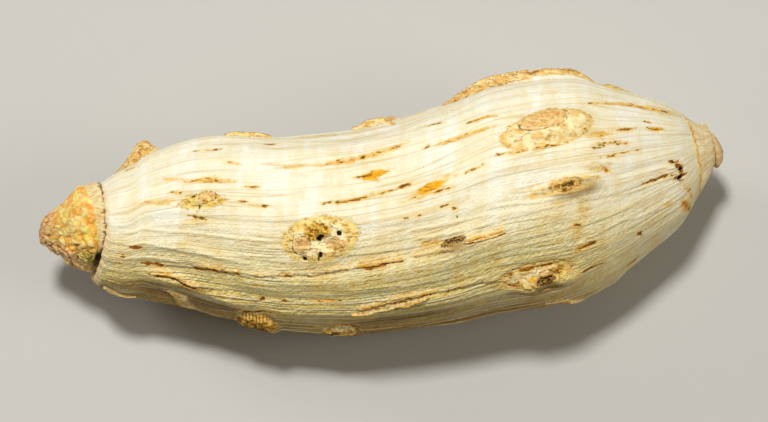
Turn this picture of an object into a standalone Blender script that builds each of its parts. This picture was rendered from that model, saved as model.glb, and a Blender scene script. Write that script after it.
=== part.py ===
"""A dried typhonium tuber lying on its side, one solid because it grew as one piece.

The skin is a grid of rings threaded on a bent axis, from the broken tip at -X to the bud at +X.
Each ring is an ellipse, and a relief adds what stands out of it or sinks into it: the long
wrinkle ridges, the root scars, the torn edge of the skin and the grains of the broken tip.
Angles run round the axis: 0 faces the far side (+Y), 90 up, 180 the near side, 270 underneath.
"""

import math
from collections import namedtuple

import bmesh
import bpy
from mathutils import Vector, noise

MM = 0.001
NAME = "tuber"

# The grid of the skin. Each station says how many rings lie between it and the next one.
AROUND = 72

# The driving dimensions, in millimetres. The lean is how far a ring's edge is carried along X
# for each millimetre across (lean_y) and up (lean_z), so that a ring can face sideways or up.
Station = namedtuple("Station", "x y z half_width half_height lean_y lean_z rings")
STATIONS = (
    Station(-25.00, -2.34, 7.60, 0.00, 0.00, 0.04, 0.18, 2),
    Station(-24.80, -2.34, 7.60, 0.85, 0.85, 0.04, 0.18, 2),
    Station(-24.20, -2.30, 7.55, 1.25, 1.30, 0.04, 0.18, 3),
    Station(-23.30, -2.02, 7.40, 1.98, 1.98, 0.04, 0.18, 3),
    Station(-22.50, -1.84, 7.30, 2.78, 2.70, 0.04, 0.18, 3),
    Station(-21.60, -1.90, 7.20, 3.10, 3.05, 0.04, 0.18, 2),
    Station(-21.00, -1.95, 7.10, 3.22, 3.20, 0.04, 0.18, 1),
    Station(-20.80, -2.00, 7.05, 3.05, 3.05, 0.04, 0.18, 1),
    Station(-20.65, -2.02, 7.00, 3.95, 3.85, 0.04, 0.18, 1),
    Station(-20.20, -2.20, 6.95, 4.28, 4.10, 0.04, 0.16, 2),
    Station(-19.00, -2.20, 6.85, 4.70, 4.50, 0.03, 0.12, 3),
    Station(-17.20, -1.65, 6.70, 5.25, 4.95, 0.02, 0.06, 4),
    Station(-14.50, -1.50, 6.60, 6.00, 5.60, 0.00, 0.02, 4),
    Station(-11.50, -1.75, 6.65, 6.65, 6.15, 0.00, 0.00, 4),
    Station(-7.00, -2.20, 6.80, 7.08, 6.50, 0.00, 0.00, 5),
    Station(-3.00, -2.20, 6.95, 7.35, 6.80, 0.00, 0.00, 4),
    Station(0.50, -1.85, 7.15, 7.60, 7.00, 0.00, 0.00, 4),
    Station(4.60, -0.96, 7.40, 8.04, 7.30, 0.00, 0.00, 4),
    Station(8.00, 0.10, 7.60, 8.35, 7.60, 0.00, 0.00, 3),
    Station(11.00, 0.60, 7.60, 8.38, 7.65, 0.00, 0.00, 3),
    Station(13.80, 1.05, 7.50, 8.05, 7.40, -0.02, 0.00, 3),
    Station(16.30, 1.55, 7.20, 7.15, 6.75, -0.05, 0.00, 4),
    Station(19.20, 2.50, 6.80, 5.65, 5.45, -0.10, 0.01, 3),
    Station(20.90, 3.06, 6.60, 4.60, 4.50, -0.15, 0.02, 3),
    Station(22.40, 3.92, 6.40, 3.05, 3.02, -0.22, 0.04, 1),
    Station(22.55, 3.94, 6.40, 2.86, 2.84, -0.22, 0.04, 3),
    Station(23.35, 4.14, 6.28, 2.20, 2.18, -0.22, 0.04, 2),
    Station(24.00, 4.62, 6.20, 1.50, 1.50, -0.20, 0.04, 1),
    Station(24.08, 4.42, 6.20, 1.12, 1.12, -0.20, 0.04, 2),
    Station(24.60, 4.32, 6.15, 0.98, 0.98, -0.20, 0.04, 2),
    Station(25.00, 4.28, 6.10, 0.00, 0.00, -0.20, 0.04, 0),
)
TORN_EDGE_X = -20.7
BUD_COLLAR_X = 22.0

# What lies lower than this, before the tuber is set down, is the small flat spot that it rests on.
REST_LEVEL = 0.25

# Ridges and creases run along the skin, from one end to the other, half_angle to each side.
Ridge = namedtuple("Ridge", "x_from angle_from x_to angle_to height half_angle")
RIDGES = (
    Ridge(-20.3, 116, -8.0, 128, 0.16, 9),
    Ridge(-12.0, 139, 10.5, 127, 0.32, 15),
    Ridge(-19.0, 146, -8.0, 158, 0.34, 13),
    Ridge(-9.5, 158, 15.0, 155, 0.32, 13),
    Ridge(-19.0, 178, 12.0, 186, 0.22, 12),
    Ridge(-17.0, 60, 19.5, 50, 0.16, 16),
    Ridge(2.0, 92, 21.0, 98, 0.12, 10),
    Ridge(-19.5, 208, 19.0, 214, 0.30, 15),
    Ridge(-18.0, 240, 20.0, 246, 0.26, 15),
    Ridge(-19.0, 302, 20.0, 296, 0.30, 15),
    Ridge(-18.0, 334, 20.0, 340, 0.26, 13),
)
RIDGE_FADE = 3.0

# Scars of roots and scale leaves. The patch stands out by height, with sides that take up
# the outer part, edge, of its size, and its middle sinks again by pit.
Scar = namedtuple("Scar", "x angle half_length half_width height edge pit")
SCARS = (
    Scar(-12.4, 90, 1.7, 0.9, 0.26, 0.7, 0.16),
    Scar(-4.4, 112, 2.9, 1.8, 0.30, 0.5, 0.34),
    Scar(12.2, 71, 3.7, 1.8, 0.34, 0.6, 0.14),
    Scar(13.6, 106, 3.0, 1.2, 0.46, 1.0, 0.30),
    Scar(11.8, 158, 2.8, 1.5, 0.38, 0.5, 0.40),
    Scar(5.4, 123, 2.2, 0.8, 0.32, 1.0, 0.22),
    Scar(-9.0, 178, 1.8, 1.4, 0.40, 0.4, 0.10),
    Scar(-3.0, 182, 1.5, 1.1, 0.10, 0.5, 0.10),
    Scar(14.9, 190, 2.6, 1.0, 0.26, 0.4, 0.00),
    Scar(10.1, 16, 6.2, 1.9, 0.64, 0.4, 0.00),
    Scar(-17.9, 16, 1.8, 1.4, 1.38, 1.0, 0.00),
    Scar(-0.3, 17, 1.6, 1.0, 0.30, 0.4, 0.00),
    Scar(-9.7, 19, 2.0, 0.8, 0.18, 0.4, 0.00),
    Scar(23.9, 25, 0.5, 0.7, 0.30, 1.0, 0.00),
    Scar(-21.2, 26, 2.0, 3.6, -0.40, 1.0, 0.00),
    Scar(-14.2, 236, 1.6, 1.0, 0.26, 0.6, 0.12),
    Scar(8.6, 226, 2.5, 1.3, 0.34, 0.6, 0.18),
    Scar(-6.6, 322, 2.3, 1.3, 0.30, 0.6, 0.18),
    Scar(3.0, 338, 1.7, 1.0, 0.28, 0.7, 0.12),
    Scar(16.6, 306, 2.0, 1.1, 0.30, 0.7, 0.14),
    Scar(-15.2, 316, 1.4, 0.9, 0.22, 0.7, 0.10),
    Scar(17.2, 24, 1.4, 0.8, 0.20, 0.7, 0.08),
)

# The pit in the middle of a scar takes up this share of it.
PIT_SHARE = 0.45

# The body swells slowly, and finer wrinkles run along it. Each has a height, a length along the
# axis and a count round it, and fades out over a few millimetres at the torn edge and the bud.
SWELL_HEIGHT, SWELL_LENGTH, SWELL_AROUND, SWELL_FADE = 0.28, 9.0, 2.3, 4.0
WRINKLE_HEIGHT, WRINKLE_LENGTH, WRINKLE_AROUND, WRINKLE_FADE = 0.10, 6.0, 11.0, 1.0

# The grains of starchy flesh on the broken tip. The skin's own level lies this share of a
# grain's size from its middle: nearer stands out, further sinks in.
GRAIN_SIZE, GRAIN_HEIGHT, GRAIN_LEVEL = 1.05, 0.30, 0.45

SKIN_COLOUR = (0.80, 0.71, 0.50, 1.0)
SKIN_ROUGHNESS = 0.62


def smooth(t):
    """From 0 to 1 as t goes from 0 to 1, with level ends."""
    t = min(max(t, 0.0), 1.0)
    return t * t * (3 - 2 * t)


def turned(angle):
    """An angle in degrees as the same turn between -180 and 180."""
    return (angle + 180) % 360 - 180


def slopes(places, values):
    """A slope at each place for a curve that never overshoots the values."""
    steps = [
        (after - before) / (end - start)
        for before, after, start, end in zip(values, values[1:], places, places[1:])
    ]
    inner = [
        2 * a * b / (a + b) if a * b > 0 else 0.0 for a, b in zip(steps, steps[1:])
    ]
    return [steps[0], *inner, steps[-1]]


def hermite(start, end, slope_out, slope_in, t):
    """The cubic from start to end that leaves and arrives with those slopes."""
    return (
        start * (1 + 2 * t) * (1 - t) ** 2
        + slope_out * t * (1 - t) ** 2
        + end * t * t * (3 - 2 * t)
        - slope_in * t * t * (1 - t)
    )


def rings_along(stations):
    """The rings of the skin from tip to tip, as stations read off one smooth curve."""
    places = [0.0]
    for before, after in zip(stations, stations[1:]):
        reach = math.hypot(after.x - before.x, after.half_width - before.half_width)
        places.append(places[-1] + reach)
    columns = [[float(value) for value in column] for column in zip(*stations)]
    columns = [(column, slopes(places, column)) for column in columns]
    rings = []
    for i, station in enumerate(stations[:-1]):
        span = places[i + 1] - places[i]
        for k in range(station.rings):
            t = k / station.rings
            values = [
                hermite(column[i], column[i + 1], lean[i] * span, lean[i + 1] * span, t)
                for column, lean in columns
            ]
            rings.append(Station(*values))
    return [*rings, stations[-1]]


def round_axis(x, angle, along, around):
    """A point of the noise field: long along the axis, and without a seam round it."""
    turn = math.radians(angle)
    return Vector((x / along, math.cos(turn) * around, math.sin(turn) * around))


def ridge_height(ridge, x, angle):
    """A crest with two flanks, which fades out at both its ends."""
    share = (x - ridge.x_from) / (ridge.x_to - ridge.x_from)
    middle = ridge.angle_from + smooth(share) * (ridge.angle_to - ridge.angle_from)
    off = abs(turned(angle - middle)) / ridge.half_angle
    if off >= 1:
        return 0.0
    from_end = min(x - ridge.x_from, ridge.x_to - x)
    return ridge.height * smooth(from_end / RIDGE_FADE) * (1 - off) ** 2


def scar_height(scar, x, angle, radius):
    """A raised patch with a sunken middle."""
    across = math.radians(turned(angle - scar.angle)) * radius
    off = math.hypot((x - scar.x) / scar.half_length, across / scar.half_width)
    if off >= 1:
        return 0.0
    patch = scar.height * smooth((1 - off) / scar.edge)
    return patch - scar.pit * smooth(1 - off / PIT_SHARE)


def grain_height(x, angle, radius):
    """The grains of the broken tip, which get smaller towards its very end."""
    turn = math.radians(angle)
    spot = Vector((x, radius * math.cos(turn), radius * math.sin(turn)))
    nearest = noise.voronoi(spot / GRAIN_SIZE)[0][0]
    return GRAIN_HEIGHT * smooth(radius / GRAIN_SIZE) * (GRAIN_LEVEL - nearest)


def relief(ring, angle):
    """How far the skin stands out of a ring's ellipse at that angle, in millimetres."""
    x, radius = ring.x, (ring.half_width + ring.half_height) / 2
    if x < TORN_EDGE_X:
        return grain_height(x, angle, radius)
    from_end = min(x - TORN_EDGE_X, BUD_COLLAR_X - x)
    swell = noise.noise(round_axis(x, angle, SWELL_LENGTH, SWELL_AROUND))
    wrinkle = noise.noise(round_axis(x, angle, WRINKLE_LENGTH, WRINKLE_AROUND))
    height = SWELL_HEIGHT * swell * smooth(from_end / SWELL_FADE)
    height += WRINKLE_HEIGHT * wrinkle * smooth(from_end / WRINKLE_FADE)
    height += sum(ridge_height(ridge, x, angle) for ridge in RIDGES)
    height += sum(scar_height(scar, x, angle, radius) for scar in SCARS)
    return height


def skin_point(ring, angle):
    """The skin's point on that ring at that angle, in millimetres, as the tuber lies."""
    out = relief(ring, angle) if ring.half_width else 0.0
    turn = math.radians(angle)
    across = (ring.half_width + out) * math.cos(turn)
    up = (ring.half_height + out) * math.sin(turn)
    x = ring.x + ring.lean_y * across + ring.lean_z * up
    z = max(ring.z + up, REST_LEVEL)
    return Vector((x, ring.y + across, z))


def wrap_skin(sphere, rings):
    """Moves the points of a ball with one row of points for each ring onto the skin."""
    rows = len(rings) - 1
    for point in sphere.verts:
        row = round(math.acos(min(max(-point.co.z, -1.0), 1.0)) / math.pi * rows)
        angle = math.degrees(math.atan2(point.co.y, point.co.x))
        point.co = skin_point(rings[row], angle) * MM


def set_down(mesh):
    """Centres the tuber over the origin and lowers it onto the ground."""
    corners = [[vertex.co[axis] for vertex in mesh.vertices] for axis in range(3)]
    middle = [(min(values) + max(values)) / 2 for values in corners]
    for vertex in mesh.vertices:
        vertex.co -= Vector((middle[0], middle[1], min(corners[2])))


def skin_material():
    material = bpy.data.materials.new("dried_skin")
    material.use_nodes = True
    shader = material.node_tree.nodes["Principled BSDF"]
    shader.inputs["Base Color"].default_value = SKIN_COLOUR
    shader.inputs["Roughness"].default_value = SKIN_ROUGHNESS
    shader.inputs["Metallic"].default_value = 0.0
    material.diffuse_color = SKIN_COLOUR
    return material


def make_tuber(collection):
    rings = rings_along(STATIONS)
    ball = bmesh.new()
    bmesh.ops.create_uvsphere(
        ball, u_segments=AROUND, v_segments=len(rings) - 1, radius=1.0
    )
    wrap_skin(ball, rings)
    mesh = bpy.data.meshes.new(NAME)
    ball.to_mesh(mesh)
    ball.free()
    set_down(mesh)
    mesh.shade_smooth()
    mesh.materials.append(skin_material())
    tuber = bpy.data.objects.new(NAME, mesh)
    collection.objects.link(tuber)
    return tuber


def main():
    for old in list(bpy.data.objects):
        bpy.data.objects.remove(old)
    collection = bpy.data.collections.new("dried_typhonium_tuber")
    bpy.context.scene.collection.children.link(collection)
    make_tuber(collection)


main()
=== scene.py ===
"""The looks of a dried typhonium tuber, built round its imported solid.

The skin follows the solid's own surface on a finer grid, and adds fibres, folds, pits and scar scales.
What stands out in the photograph is listed by its pixels, and the view's own geometry puts it on the skin.
Angles run round the tuber's axis: 0 faces the far side (+Y), 90 up, 180 the near side, 270 underneath.
"""

import math
from collections import namedtuple

import bpy
import numpy as np
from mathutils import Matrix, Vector, noise


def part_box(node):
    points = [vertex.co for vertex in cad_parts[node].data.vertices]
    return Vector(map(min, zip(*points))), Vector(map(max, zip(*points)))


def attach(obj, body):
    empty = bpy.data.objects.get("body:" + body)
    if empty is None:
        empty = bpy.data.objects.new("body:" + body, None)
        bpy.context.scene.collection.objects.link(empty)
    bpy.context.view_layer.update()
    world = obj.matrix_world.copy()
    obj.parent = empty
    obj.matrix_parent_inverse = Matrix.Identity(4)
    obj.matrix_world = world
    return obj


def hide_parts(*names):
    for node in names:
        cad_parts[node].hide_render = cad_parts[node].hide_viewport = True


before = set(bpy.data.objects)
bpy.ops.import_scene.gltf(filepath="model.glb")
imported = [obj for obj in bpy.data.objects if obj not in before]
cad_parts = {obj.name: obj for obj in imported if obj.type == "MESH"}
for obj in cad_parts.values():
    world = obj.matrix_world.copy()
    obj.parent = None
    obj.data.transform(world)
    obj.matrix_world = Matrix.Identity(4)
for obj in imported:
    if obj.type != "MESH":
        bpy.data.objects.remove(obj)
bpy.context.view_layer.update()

MM = 0.001

# The photograph and its view, in millimetres and pixels.
IMAGE_WIDTH, IMAGE_HEIGHT = 768, 422
PIXEL = 0.0728
LENS, SENSOR = 150.0, 36.0
ELEVATION = math.radians(72)
FOCAL_PIXELS = LENS / SENSOR * IMAGE_WIDTH
DISTANCE = FOCAL_PIXELS * PIXEL
RIGHT = np.array([1.0, 0.0, 0.0])
UP = np.array([0.0, math.sin(ELEVATION), math.cos(ELEVATION)])
BACK = np.array([0.0, -math.cos(ELEVATION), math.sin(ELEVATION)])
MIDDLE = np.array([0.0, 0.0, 7.0])
MIDDLE_AT_X, MIDDLE_AT_Y = 383.5, 204.0
AIM = (
    MIDDLE
    + RIGHT * (IMAGE_WIDTH / 2 - MIDDLE_AT_X) * PIXEL
    - UP * (IMAGE_HEIGHT / 2 - MIDDLE_AT_Y) * PIXEL
)
EYE = AIM + BACK * DISTANCE

# The solid's driving dimensions, in millimetres, as its source gives them.
Station = namedtuple("Station", "x y z half_width half_height lean_y lean_z rings")
STATIONS = tuple(Station(*row) for row in (
    (-25.00, -2.34, 7.60, 0.00, 0.00, 0.04, 0.18, 2),
    (-24.80, -2.34, 7.60, 0.85, 0.85, 0.04, 0.18, 2),
    (-24.20, -2.30, 7.55, 1.25, 1.30, 0.04, 0.18, 3),
    (-23.30, -2.02, 7.40, 1.98, 1.98, 0.04, 0.18, 3),
    (-22.50, -1.84, 7.30, 2.78, 2.70, 0.04, 0.18, 3),
    (-21.60, -1.90, 7.20, 3.10, 3.05, 0.04, 0.18, 2),
    (-21.00, -1.95, 7.10, 3.22, 3.20, 0.04, 0.18, 1),
    (-20.80, -2.00, 7.05, 3.05, 3.05, 0.04, 0.18, 1),
    (-20.65, -2.02, 7.00, 3.95, 3.85, 0.04, 0.18, 1),
    (-20.20, -2.20, 6.95, 4.28, 4.10, 0.04, 0.16, 2),
    (-19.00, -2.20, 6.85, 4.70, 4.50, 0.03, 0.12, 3),
    (-17.20, -1.65, 6.70, 5.25, 4.95, 0.02, 0.06, 4),
    (-14.50, -1.50, 6.60, 6.00, 5.60, 0.00, 0.02, 4),
    (-11.50, -1.75, 6.65, 6.65, 6.15, 0.00, 0.00, 4),
    (-7.00, -2.20, 6.80, 7.08, 6.50, 0.00, 0.00, 5),
    (-3.00, -2.20, 6.95, 7.35, 6.80, 0.00, 0.00, 4),
    (0.50, -1.85, 7.15, 7.60, 7.00, 0.00, 0.00, 4),
    (4.60, -0.96, 7.40, 8.04, 7.30, 0.00, 0.00, 4),
    (8.00, 0.10, 7.60, 8.35, 7.60, 0.00, 0.00, 3),
    (11.00, 0.60, 7.60, 8.38, 7.65, 0.00, 0.00, 3),
    (13.80, 1.05, 7.50, 8.05, 7.40, -0.02, 0.00, 3),
    (16.30, 1.55, 7.20, 7.15, 6.75, -0.05, 0.00, 4),
    (19.20, 2.50, 6.80, 5.65, 5.45, -0.10, 0.01, 3),
    (20.90, 3.06, 6.60, 4.60, 4.50, -0.15, 0.02, 3),
    (22.40, 3.92, 6.40, 3.05, 3.02, -0.22, 0.04, 1),
    (22.55, 3.94, 6.40, 2.86, 2.84, -0.22, 0.04, 3),
    (23.35, 4.14, 6.28, 2.20, 2.18, -0.22, 0.04, 2),
    (24.00, 4.62, 6.20, 1.50, 1.50, -0.20, 0.04, 1),
    (24.08, 4.42, 6.20, 1.12, 1.12, -0.20, 0.04, 2),
    (24.60, 4.32, 6.15, 0.98, 0.98, -0.20, 0.04, 2),
    (25.00, 4.28, 6.10, 0.00, 0.00, -0.20, 0.04, 0),
))
SOLID_AROUND = 72
TORN_EDGE_X = -20.7
BUD_COLLAR_X = 22.0
REST_LEVEL = 0.25

Ridge = namedtuple("Ridge", "x_from angle_from x_to angle_to height half_angle")
RIDGES = tuple(Ridge(*row) for row in (
    (-20.3, 116, -8.0, 128, 0.16, 9),
    (-12.0, 139, 10.5, 127, 0.32, 15),
    (-19.0, 146, -8.0, 158, 0.34, 13),
    (-9.5, 158, 15.0, 155, 0.32, 13),
    (-19.0, 178, 12.0, 186, 0.22, 12),
    (-17.0, 60, 19.5, 50, 0.16, 16),
    (2.0, 92, 21.0, 98, 0.12, 10),
    (-19.5, 208, 19.0, 214, 0.3, 15),
    (-18.0, 240, 20.0, 246, 0.26, 15),
    (-19.0, 302, 20.0, 296, 0.3, 15),
    (-18.0, 334, 20.0, 340, 0.26, 13),
))
RIDGE_FADE = 3.0

Scar = namedtuple("Scar", "x angle half_length half_width height edge pit")
SCARS = tuple(Scar(*row) for row in (
    (-12.4, 90, 1.7, 0.9, 0.26, 0.7, 0.16),
    (-4.4, 112, 2.9, 1.8, 0.3, 0.5, 0.34),
    (12.2, 71, 3.7, 1.8, 0.34, 0.6, 0.14),
    (13.6, 106, 3.0, 1.2, 0.46, 1.0, 0.3),
    (11.8, 158, 2.8, 1.5, 0.38, 0.5, 0.4),
    (5.4, 123, 2.2, 0.8, 0.32, 1.0, 0.22),
    (-9.0, 178, 1.8, 1.4, 0.4, 0.4, 0.1),
    (-3.0, 182, 1.5, 1.1, 0.1, 0.5, 0.1),
    (14.9, 190, 2.6, 1.0, 0.26, 0.4, 0.0),
    (10.1, 16, 6.2, 1.9, 0.64, 0.4, 0.0),
    (-17.9, 16, 1.8, 1.4, 1.38, 1.0, 0.0),
    (-0.3, 17, 1.6, 1.0, 0.3, 0.4, 0.0),
    (-9.7, 19, 2.0, 0.8, 0.18, 0.4, 0.0),
    (23.9, 25, 0.5, 0.7, 0.3, 1.0, 0.0),
    (-21.2, 26, 2.0, 3.6, -0.4, 1.0, 0.0),
    (-14.2, 236, 1.6, 1.0, 0.26, 0.6, 0.12),
    (8.6, 226, 2.5, 1.3, 0.34, 0.6, 0.18),
    (-6.6, 322, 2.3, 1.3, 0.3, 0.6, 0.18),
    (3.0, 338, 1.7, 1.0, 0.28, 0.7, 0.12),
    (16.6, 306, 2.0, 1.1, 0.3, 0.7, 0.14),
    (-15.2, 316, 1.4, 0.9, 0.22, 0.7, 0.1),
    (17.2, 24, 1.4, 0.8, 0.2, 0.7, 0.08),
))
HIDDEN_SCARS = SCARS[-7:]
BUD_SCAR = SCARS[13]
PIT_SHARE = 0.45

SWELL_HEIGHT, SWELL_LENGTH, SWELL_AROUND, SWELL_FADE = 0.28, 9.0, 2.3, 4.0
WRINKLE_HEIGHT, WRINKLE_LENGTH, WRINKLE_AROUND, WRINKLE_FADE = 0.10, 6.0, 11.0, 1.0

# The grids of the finer surfaces: points round each ring, and the millimetres from ring to ring.
SKIN_AROUND, SKIN_STEP = 428, 0.20
TIP_AROUND, TIP_STEP = 320, 0.05
BUD_AROUND, BUD_STEP = 220, 0.075

# The creases of the skin, from coarse to fine: how many to a turn, how high, how far each drifts, and the
# share of its width that its steep lower side takes.
Crease = namedtuple("Crease", "count height drift steep")
CREASES = (Crease(30, 0.040, 0.4, 0.12), Crease(84, 0.028, 0.6, 0.25))
CALM_ANGLE, CALM_TURN, CALM_SHARE = 55, 60, 0.12
FINE_CREASES = 208
CREASE_EDGE = 0.12
FIBRE_TWIST = 0.35
FIBRE_RADIUS = 7.0

# Streaks of brown along the fibres. The path is in the photograph's pixels, half_width in
# millimetres, and core is the share of that width that is dark.
Streak = namedtuple("Streak", "path half_width core")
STREAKS = tuple(Streak(*row) for row in (
    (((275, 167), (305, 166)), 0.09, 0.0),
    (((314, 165), (342, 162), (372, 155), (397, 147), (409, 141)), 0.2, 0.12),
    (((352, 178), (374, 175), (394, 169)), 0.16, 0.1),
    (((366, 176), (378, 180)), 0.24, 0.0),
    (((426, 147), (470, 134), (496, 126)), 0.18, 0.0),
    (((425, 148), (432, 145)), 0.1, 0.9),
    (((466, 123), (497, 115)), 0.14, 0.2),
    (((323, 204), (350, 201), (370, 196), (401, 187)), 0.13, 0.25),
    (((396, 189), (415, 181)), 0.17, 0.45),
    (((411, 195), (431, 188), (449, 179)), 0.16, 0.0),
    (((420, 196), (434, 192)), 0.16, 0.4),
    (((398, 202), (432, 193), (457, 186)), 0.12, 0.3),
    (((462, 173), (477, 168), (484, 165)), 0.13, 0.4),
    (((437, 178), (462, 173)), 0.06, 0.0),
    (((439, 208), (449, 204)), 0.09, 0.3),
    (((449, 204), (456, 209)), 0.06, 0.6),
    (((404, 219), (421, 215)), 0.06, 0.5),
    (((496, 155), (523, 151), (562, 144)), 0.11, 0.25),
    (((183, 181), (208, 180), (237, 181)), 0.15, 0.2),
    (((245, 187), (260, 187)), 0.13, 0.3),
    (((236, 200), (252, 204)), 0.07, 0.2),
    (((248, 204), (271, 206)), 0.1, 0.5),
    (((185, 215), (197, 217), (211, 220)), 0.07, 0.5),
    (((171, 193), (181, 193)), 0.09, 0.1),
    (((163, 179), (183, 179)), 0.05, 0.0),
    (((258, 144), (279, 144)), 0.07, 0.9),
    (((224, 162), (243, 164)), 0.06, 0.1),
    (((193, 152), (221, 149)), 0.06, 0.1),
    (((128, 170), (140, 166)), 0.05, 0.7),
    (((135, 205), (173, 206)), 0.05, 0.0),
    (((158, 200), (176, 201)), 0.04, 0.0),
    (((126, 246), (145, 248)), 0.12, 1.0),
    (((113, 256), (128, 257)), 0.13, 0.6),
    (((141, 263), (168, 266)), 0.2, 0.8),
    (((252, 302), (266, 298)), 0.14, 0.9),
    (((279, 300), (288, 300)), 0.1, 0.9),
    (((313, 301), (342, 301)), 0.22, 0.25),
    (((475, 303), (486, 302)), 0.12, 0.5),
    (((588, 103), (629, 105), (668, 112)), 0.2, 0.1),
    (((586, 149), (605, 146)), 0.08, 0.8),
    (((617, 145), (630, 143)), 0.1, 0.1),
    (((618, 131), (637, 128)), 0.13, 0.3),
    (((590, 135), (614, 133)), 0.2, 0.0),
    (((643, 121), (653, 124)), 0.08, 0.5),
    (((647, 127), (656, 129), (665, 129)), 0.2, 0.3),
    (((640, 185), (661, 177), (679, 172)), 0.13, 0.6),
    (((600, 166), (612, 172)), 0.14, 0.2),
    (((571, 226), (580, 225)), 0.16, 0.6),
    (((572, 253), (597, 240)), 0.24, 0.3),
    (((572, 253), (584, 248)), 0.12, 1.0),
    (((582, 273), (606, 262)), 0.11, 1.0),
    (((625, 267), (641, 255)), 0.16, 0.6),
    (((548, 300), (591, 293)), 0.3, 0.3),
    (((682, 198), (690, 209)), 0.26, 0.3),
    (((664, 206), (672, 203)), 0.14, 0.0),
    (((550, 204), (566, 202)), 0.12, 0.5),
    (((637, 231), (643, 237)), 0.14, 0.9),
    (((224, 136), (272, 138)), 0.16, 0.1),
    (((300, 137), (337, 135)), 0.12, 0.1),
    (((498, 76), (534, 72), (600, 83)), 0.2, 0.2),
    (((112, 263), (121, 264)), 0.1, 0.3),
    (((669, 160), (676, 163), (681, 169), (681, 180)), 0.14, 0.75),
    (((673, 180), (680, 176), (687, 173)), 0.13, 0.7),
    (((678, 161), (680, 168)), 0.1, 0.5),
    (((683, 183), (690, 191), (691, 198)), 0.12, 0.2),
    (((402, 115), (426, 111)), 0.06, 0.2),
    (((420, 127), (446, 122)), 0.06, 0.3),
    (((541, 94), (560, 92)), 0.08, 0.1),
    (((590, 145), (620, 141)), 0.09, 0.3),
    (((600, 158), (640, 150)), 0.06, 0.1),
    (((501, 282), (511, 273), (530, 268), (549, 264), (561, 263)), 0.17, 0.5),
    (((501, 283), (514, 288), (532, 290)), 0.16, 0.4),
    (((552, 190), (566, 190.5), (584, 187)), 0.1, 0.8),
    (((524, 196), (541, 190), (556, 182), (572, 177), (598, 177)), 0.05, 0.0),
    (((524, 197), (545, 194), (560, 191), (580, 187), (600, 180)), 0.05, 0.0),
    (((420, 245), (433, 243), (443, 241)), 0.2, 0.0),
    (((233, 318), (244, 312), (262, 311), (281, 315)), 0.13, 0.9),
    (((318, 327), (330, 325), (350, 325), (366, 329)), 0.12, 0.8),
    (((201, 202), (199, 208), (198, 213)), 0.04, 1.0),
))

# Folds where the skin stands up in a lip along the fibres, with a painted highlight on it and a painted
# shadow line below. The lip is height millimetres high, and brown says how much of it has browned and flaked,
# from 0 to 1.
Fold = namedtuple("Fold", "path height brown")
FOLDS = tuple(Fold(*row) for row in (
    (((104, 228), (170, 231), (229, 237), (292, 242)), 0.06, 0.0),
    (((189, 266), (214, 270), (247, 275)), 0.08, 0.9),
    (((240, 274), (295, 275), (317, 275), (343, 270), (361, 267)), 0.1, 0.35),
    (((350, 269), (378, 265), (396, 261), (410, 258)), 0.14, 0.75),
    (((410, 258), (440, 252), (456, 249)), 0.1, 0.2),
    (((463, 243), (485, 237), (508, 232)), 0.14, 0.7),
    (((352, 311), (382, 305), (415, 297), (444, 291)), 0.13, 0.9),
    (((352, 316), (380, 310), (424, 302)), 0.1, 0.8),
    (((440, 292), (469, 285), (501, 280)), 0.12, 0.2),
    (((144, 273), (163, 275), (176, 279), (184, 284), (201, 291)), 0.13, 0.8),
    (((156, 287), (173, 295), (192, 307), (214, 319), (238, 326)), 0.12, 0.5),
    (((106, 255), (150, 258), (190, 264)), 0.06, 0.0),
    (((106, 240), (184, 251), (259, 264)), 0.06, 0.0),
    (((430, 327), (470, 321), (503, 315)), 0.08, 0.4),
    (((610, 180), (660, 168), (684, 165)), 0.05, 0.0),
    (((526, 196), (546, 187), (570, 178), (600, 177)), 0.12, 0.0),
    (((560, 250), (620, 222), (684, 196)), 0.04, 0.0),
    (((400, 232), (450, 224), (500, 213)), 0.05, 0.0),
    (((405, 241), (455, 233), (505, 222)), 0.05, 0.0),
    (((480, 209), (530, 203), (580, 194)), 0.06, 0.0),
    (((480, 262), (540, 250), (600, 238)), 0.05, 0.0),
))

# Thin flakes that stand off the skin: the line they grow from, how far they reach round the tuber (a negative
# reach is towards the far side), and how far their edge lifts, in millimetres.
Flake = namedtuple("Flake", "path reach lift")
FLAKES = tuple(Flake(*row) for row in (
    (((224, 137), (240, 136), (258, 136), (271, 138)), -0.2, 0.16),
    (((352, 128), (366, 124), (384, 123), (396, 125)), -0.25, 0.18),
    (((104, 287), (116, 292), (136, 296)), 0.45, 0.1),
    (((126, 157), (130, 152), (135, 146)), -0.2, 0.25),
    (((352, 313), (380, 306), (406, 300), (430, 295)), 0.5, 0.2),
    (((545, 303), (568, 299), (592, 291)), 0.35, 0.1),
    (((463, 242), (485, 236), (506, 231)), 0.24, 0.12),
    (((476, 86), (500, 77), (528, 72)), -0.2, 0.16),
    (((540, 72), (566, 74), (590, 80)), -0.2, 0.12),
))
FLAKE_ACROSS, FLAKE_STEP, FLAKE_THICKNESS = 6, 0.08, 0.05

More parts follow.
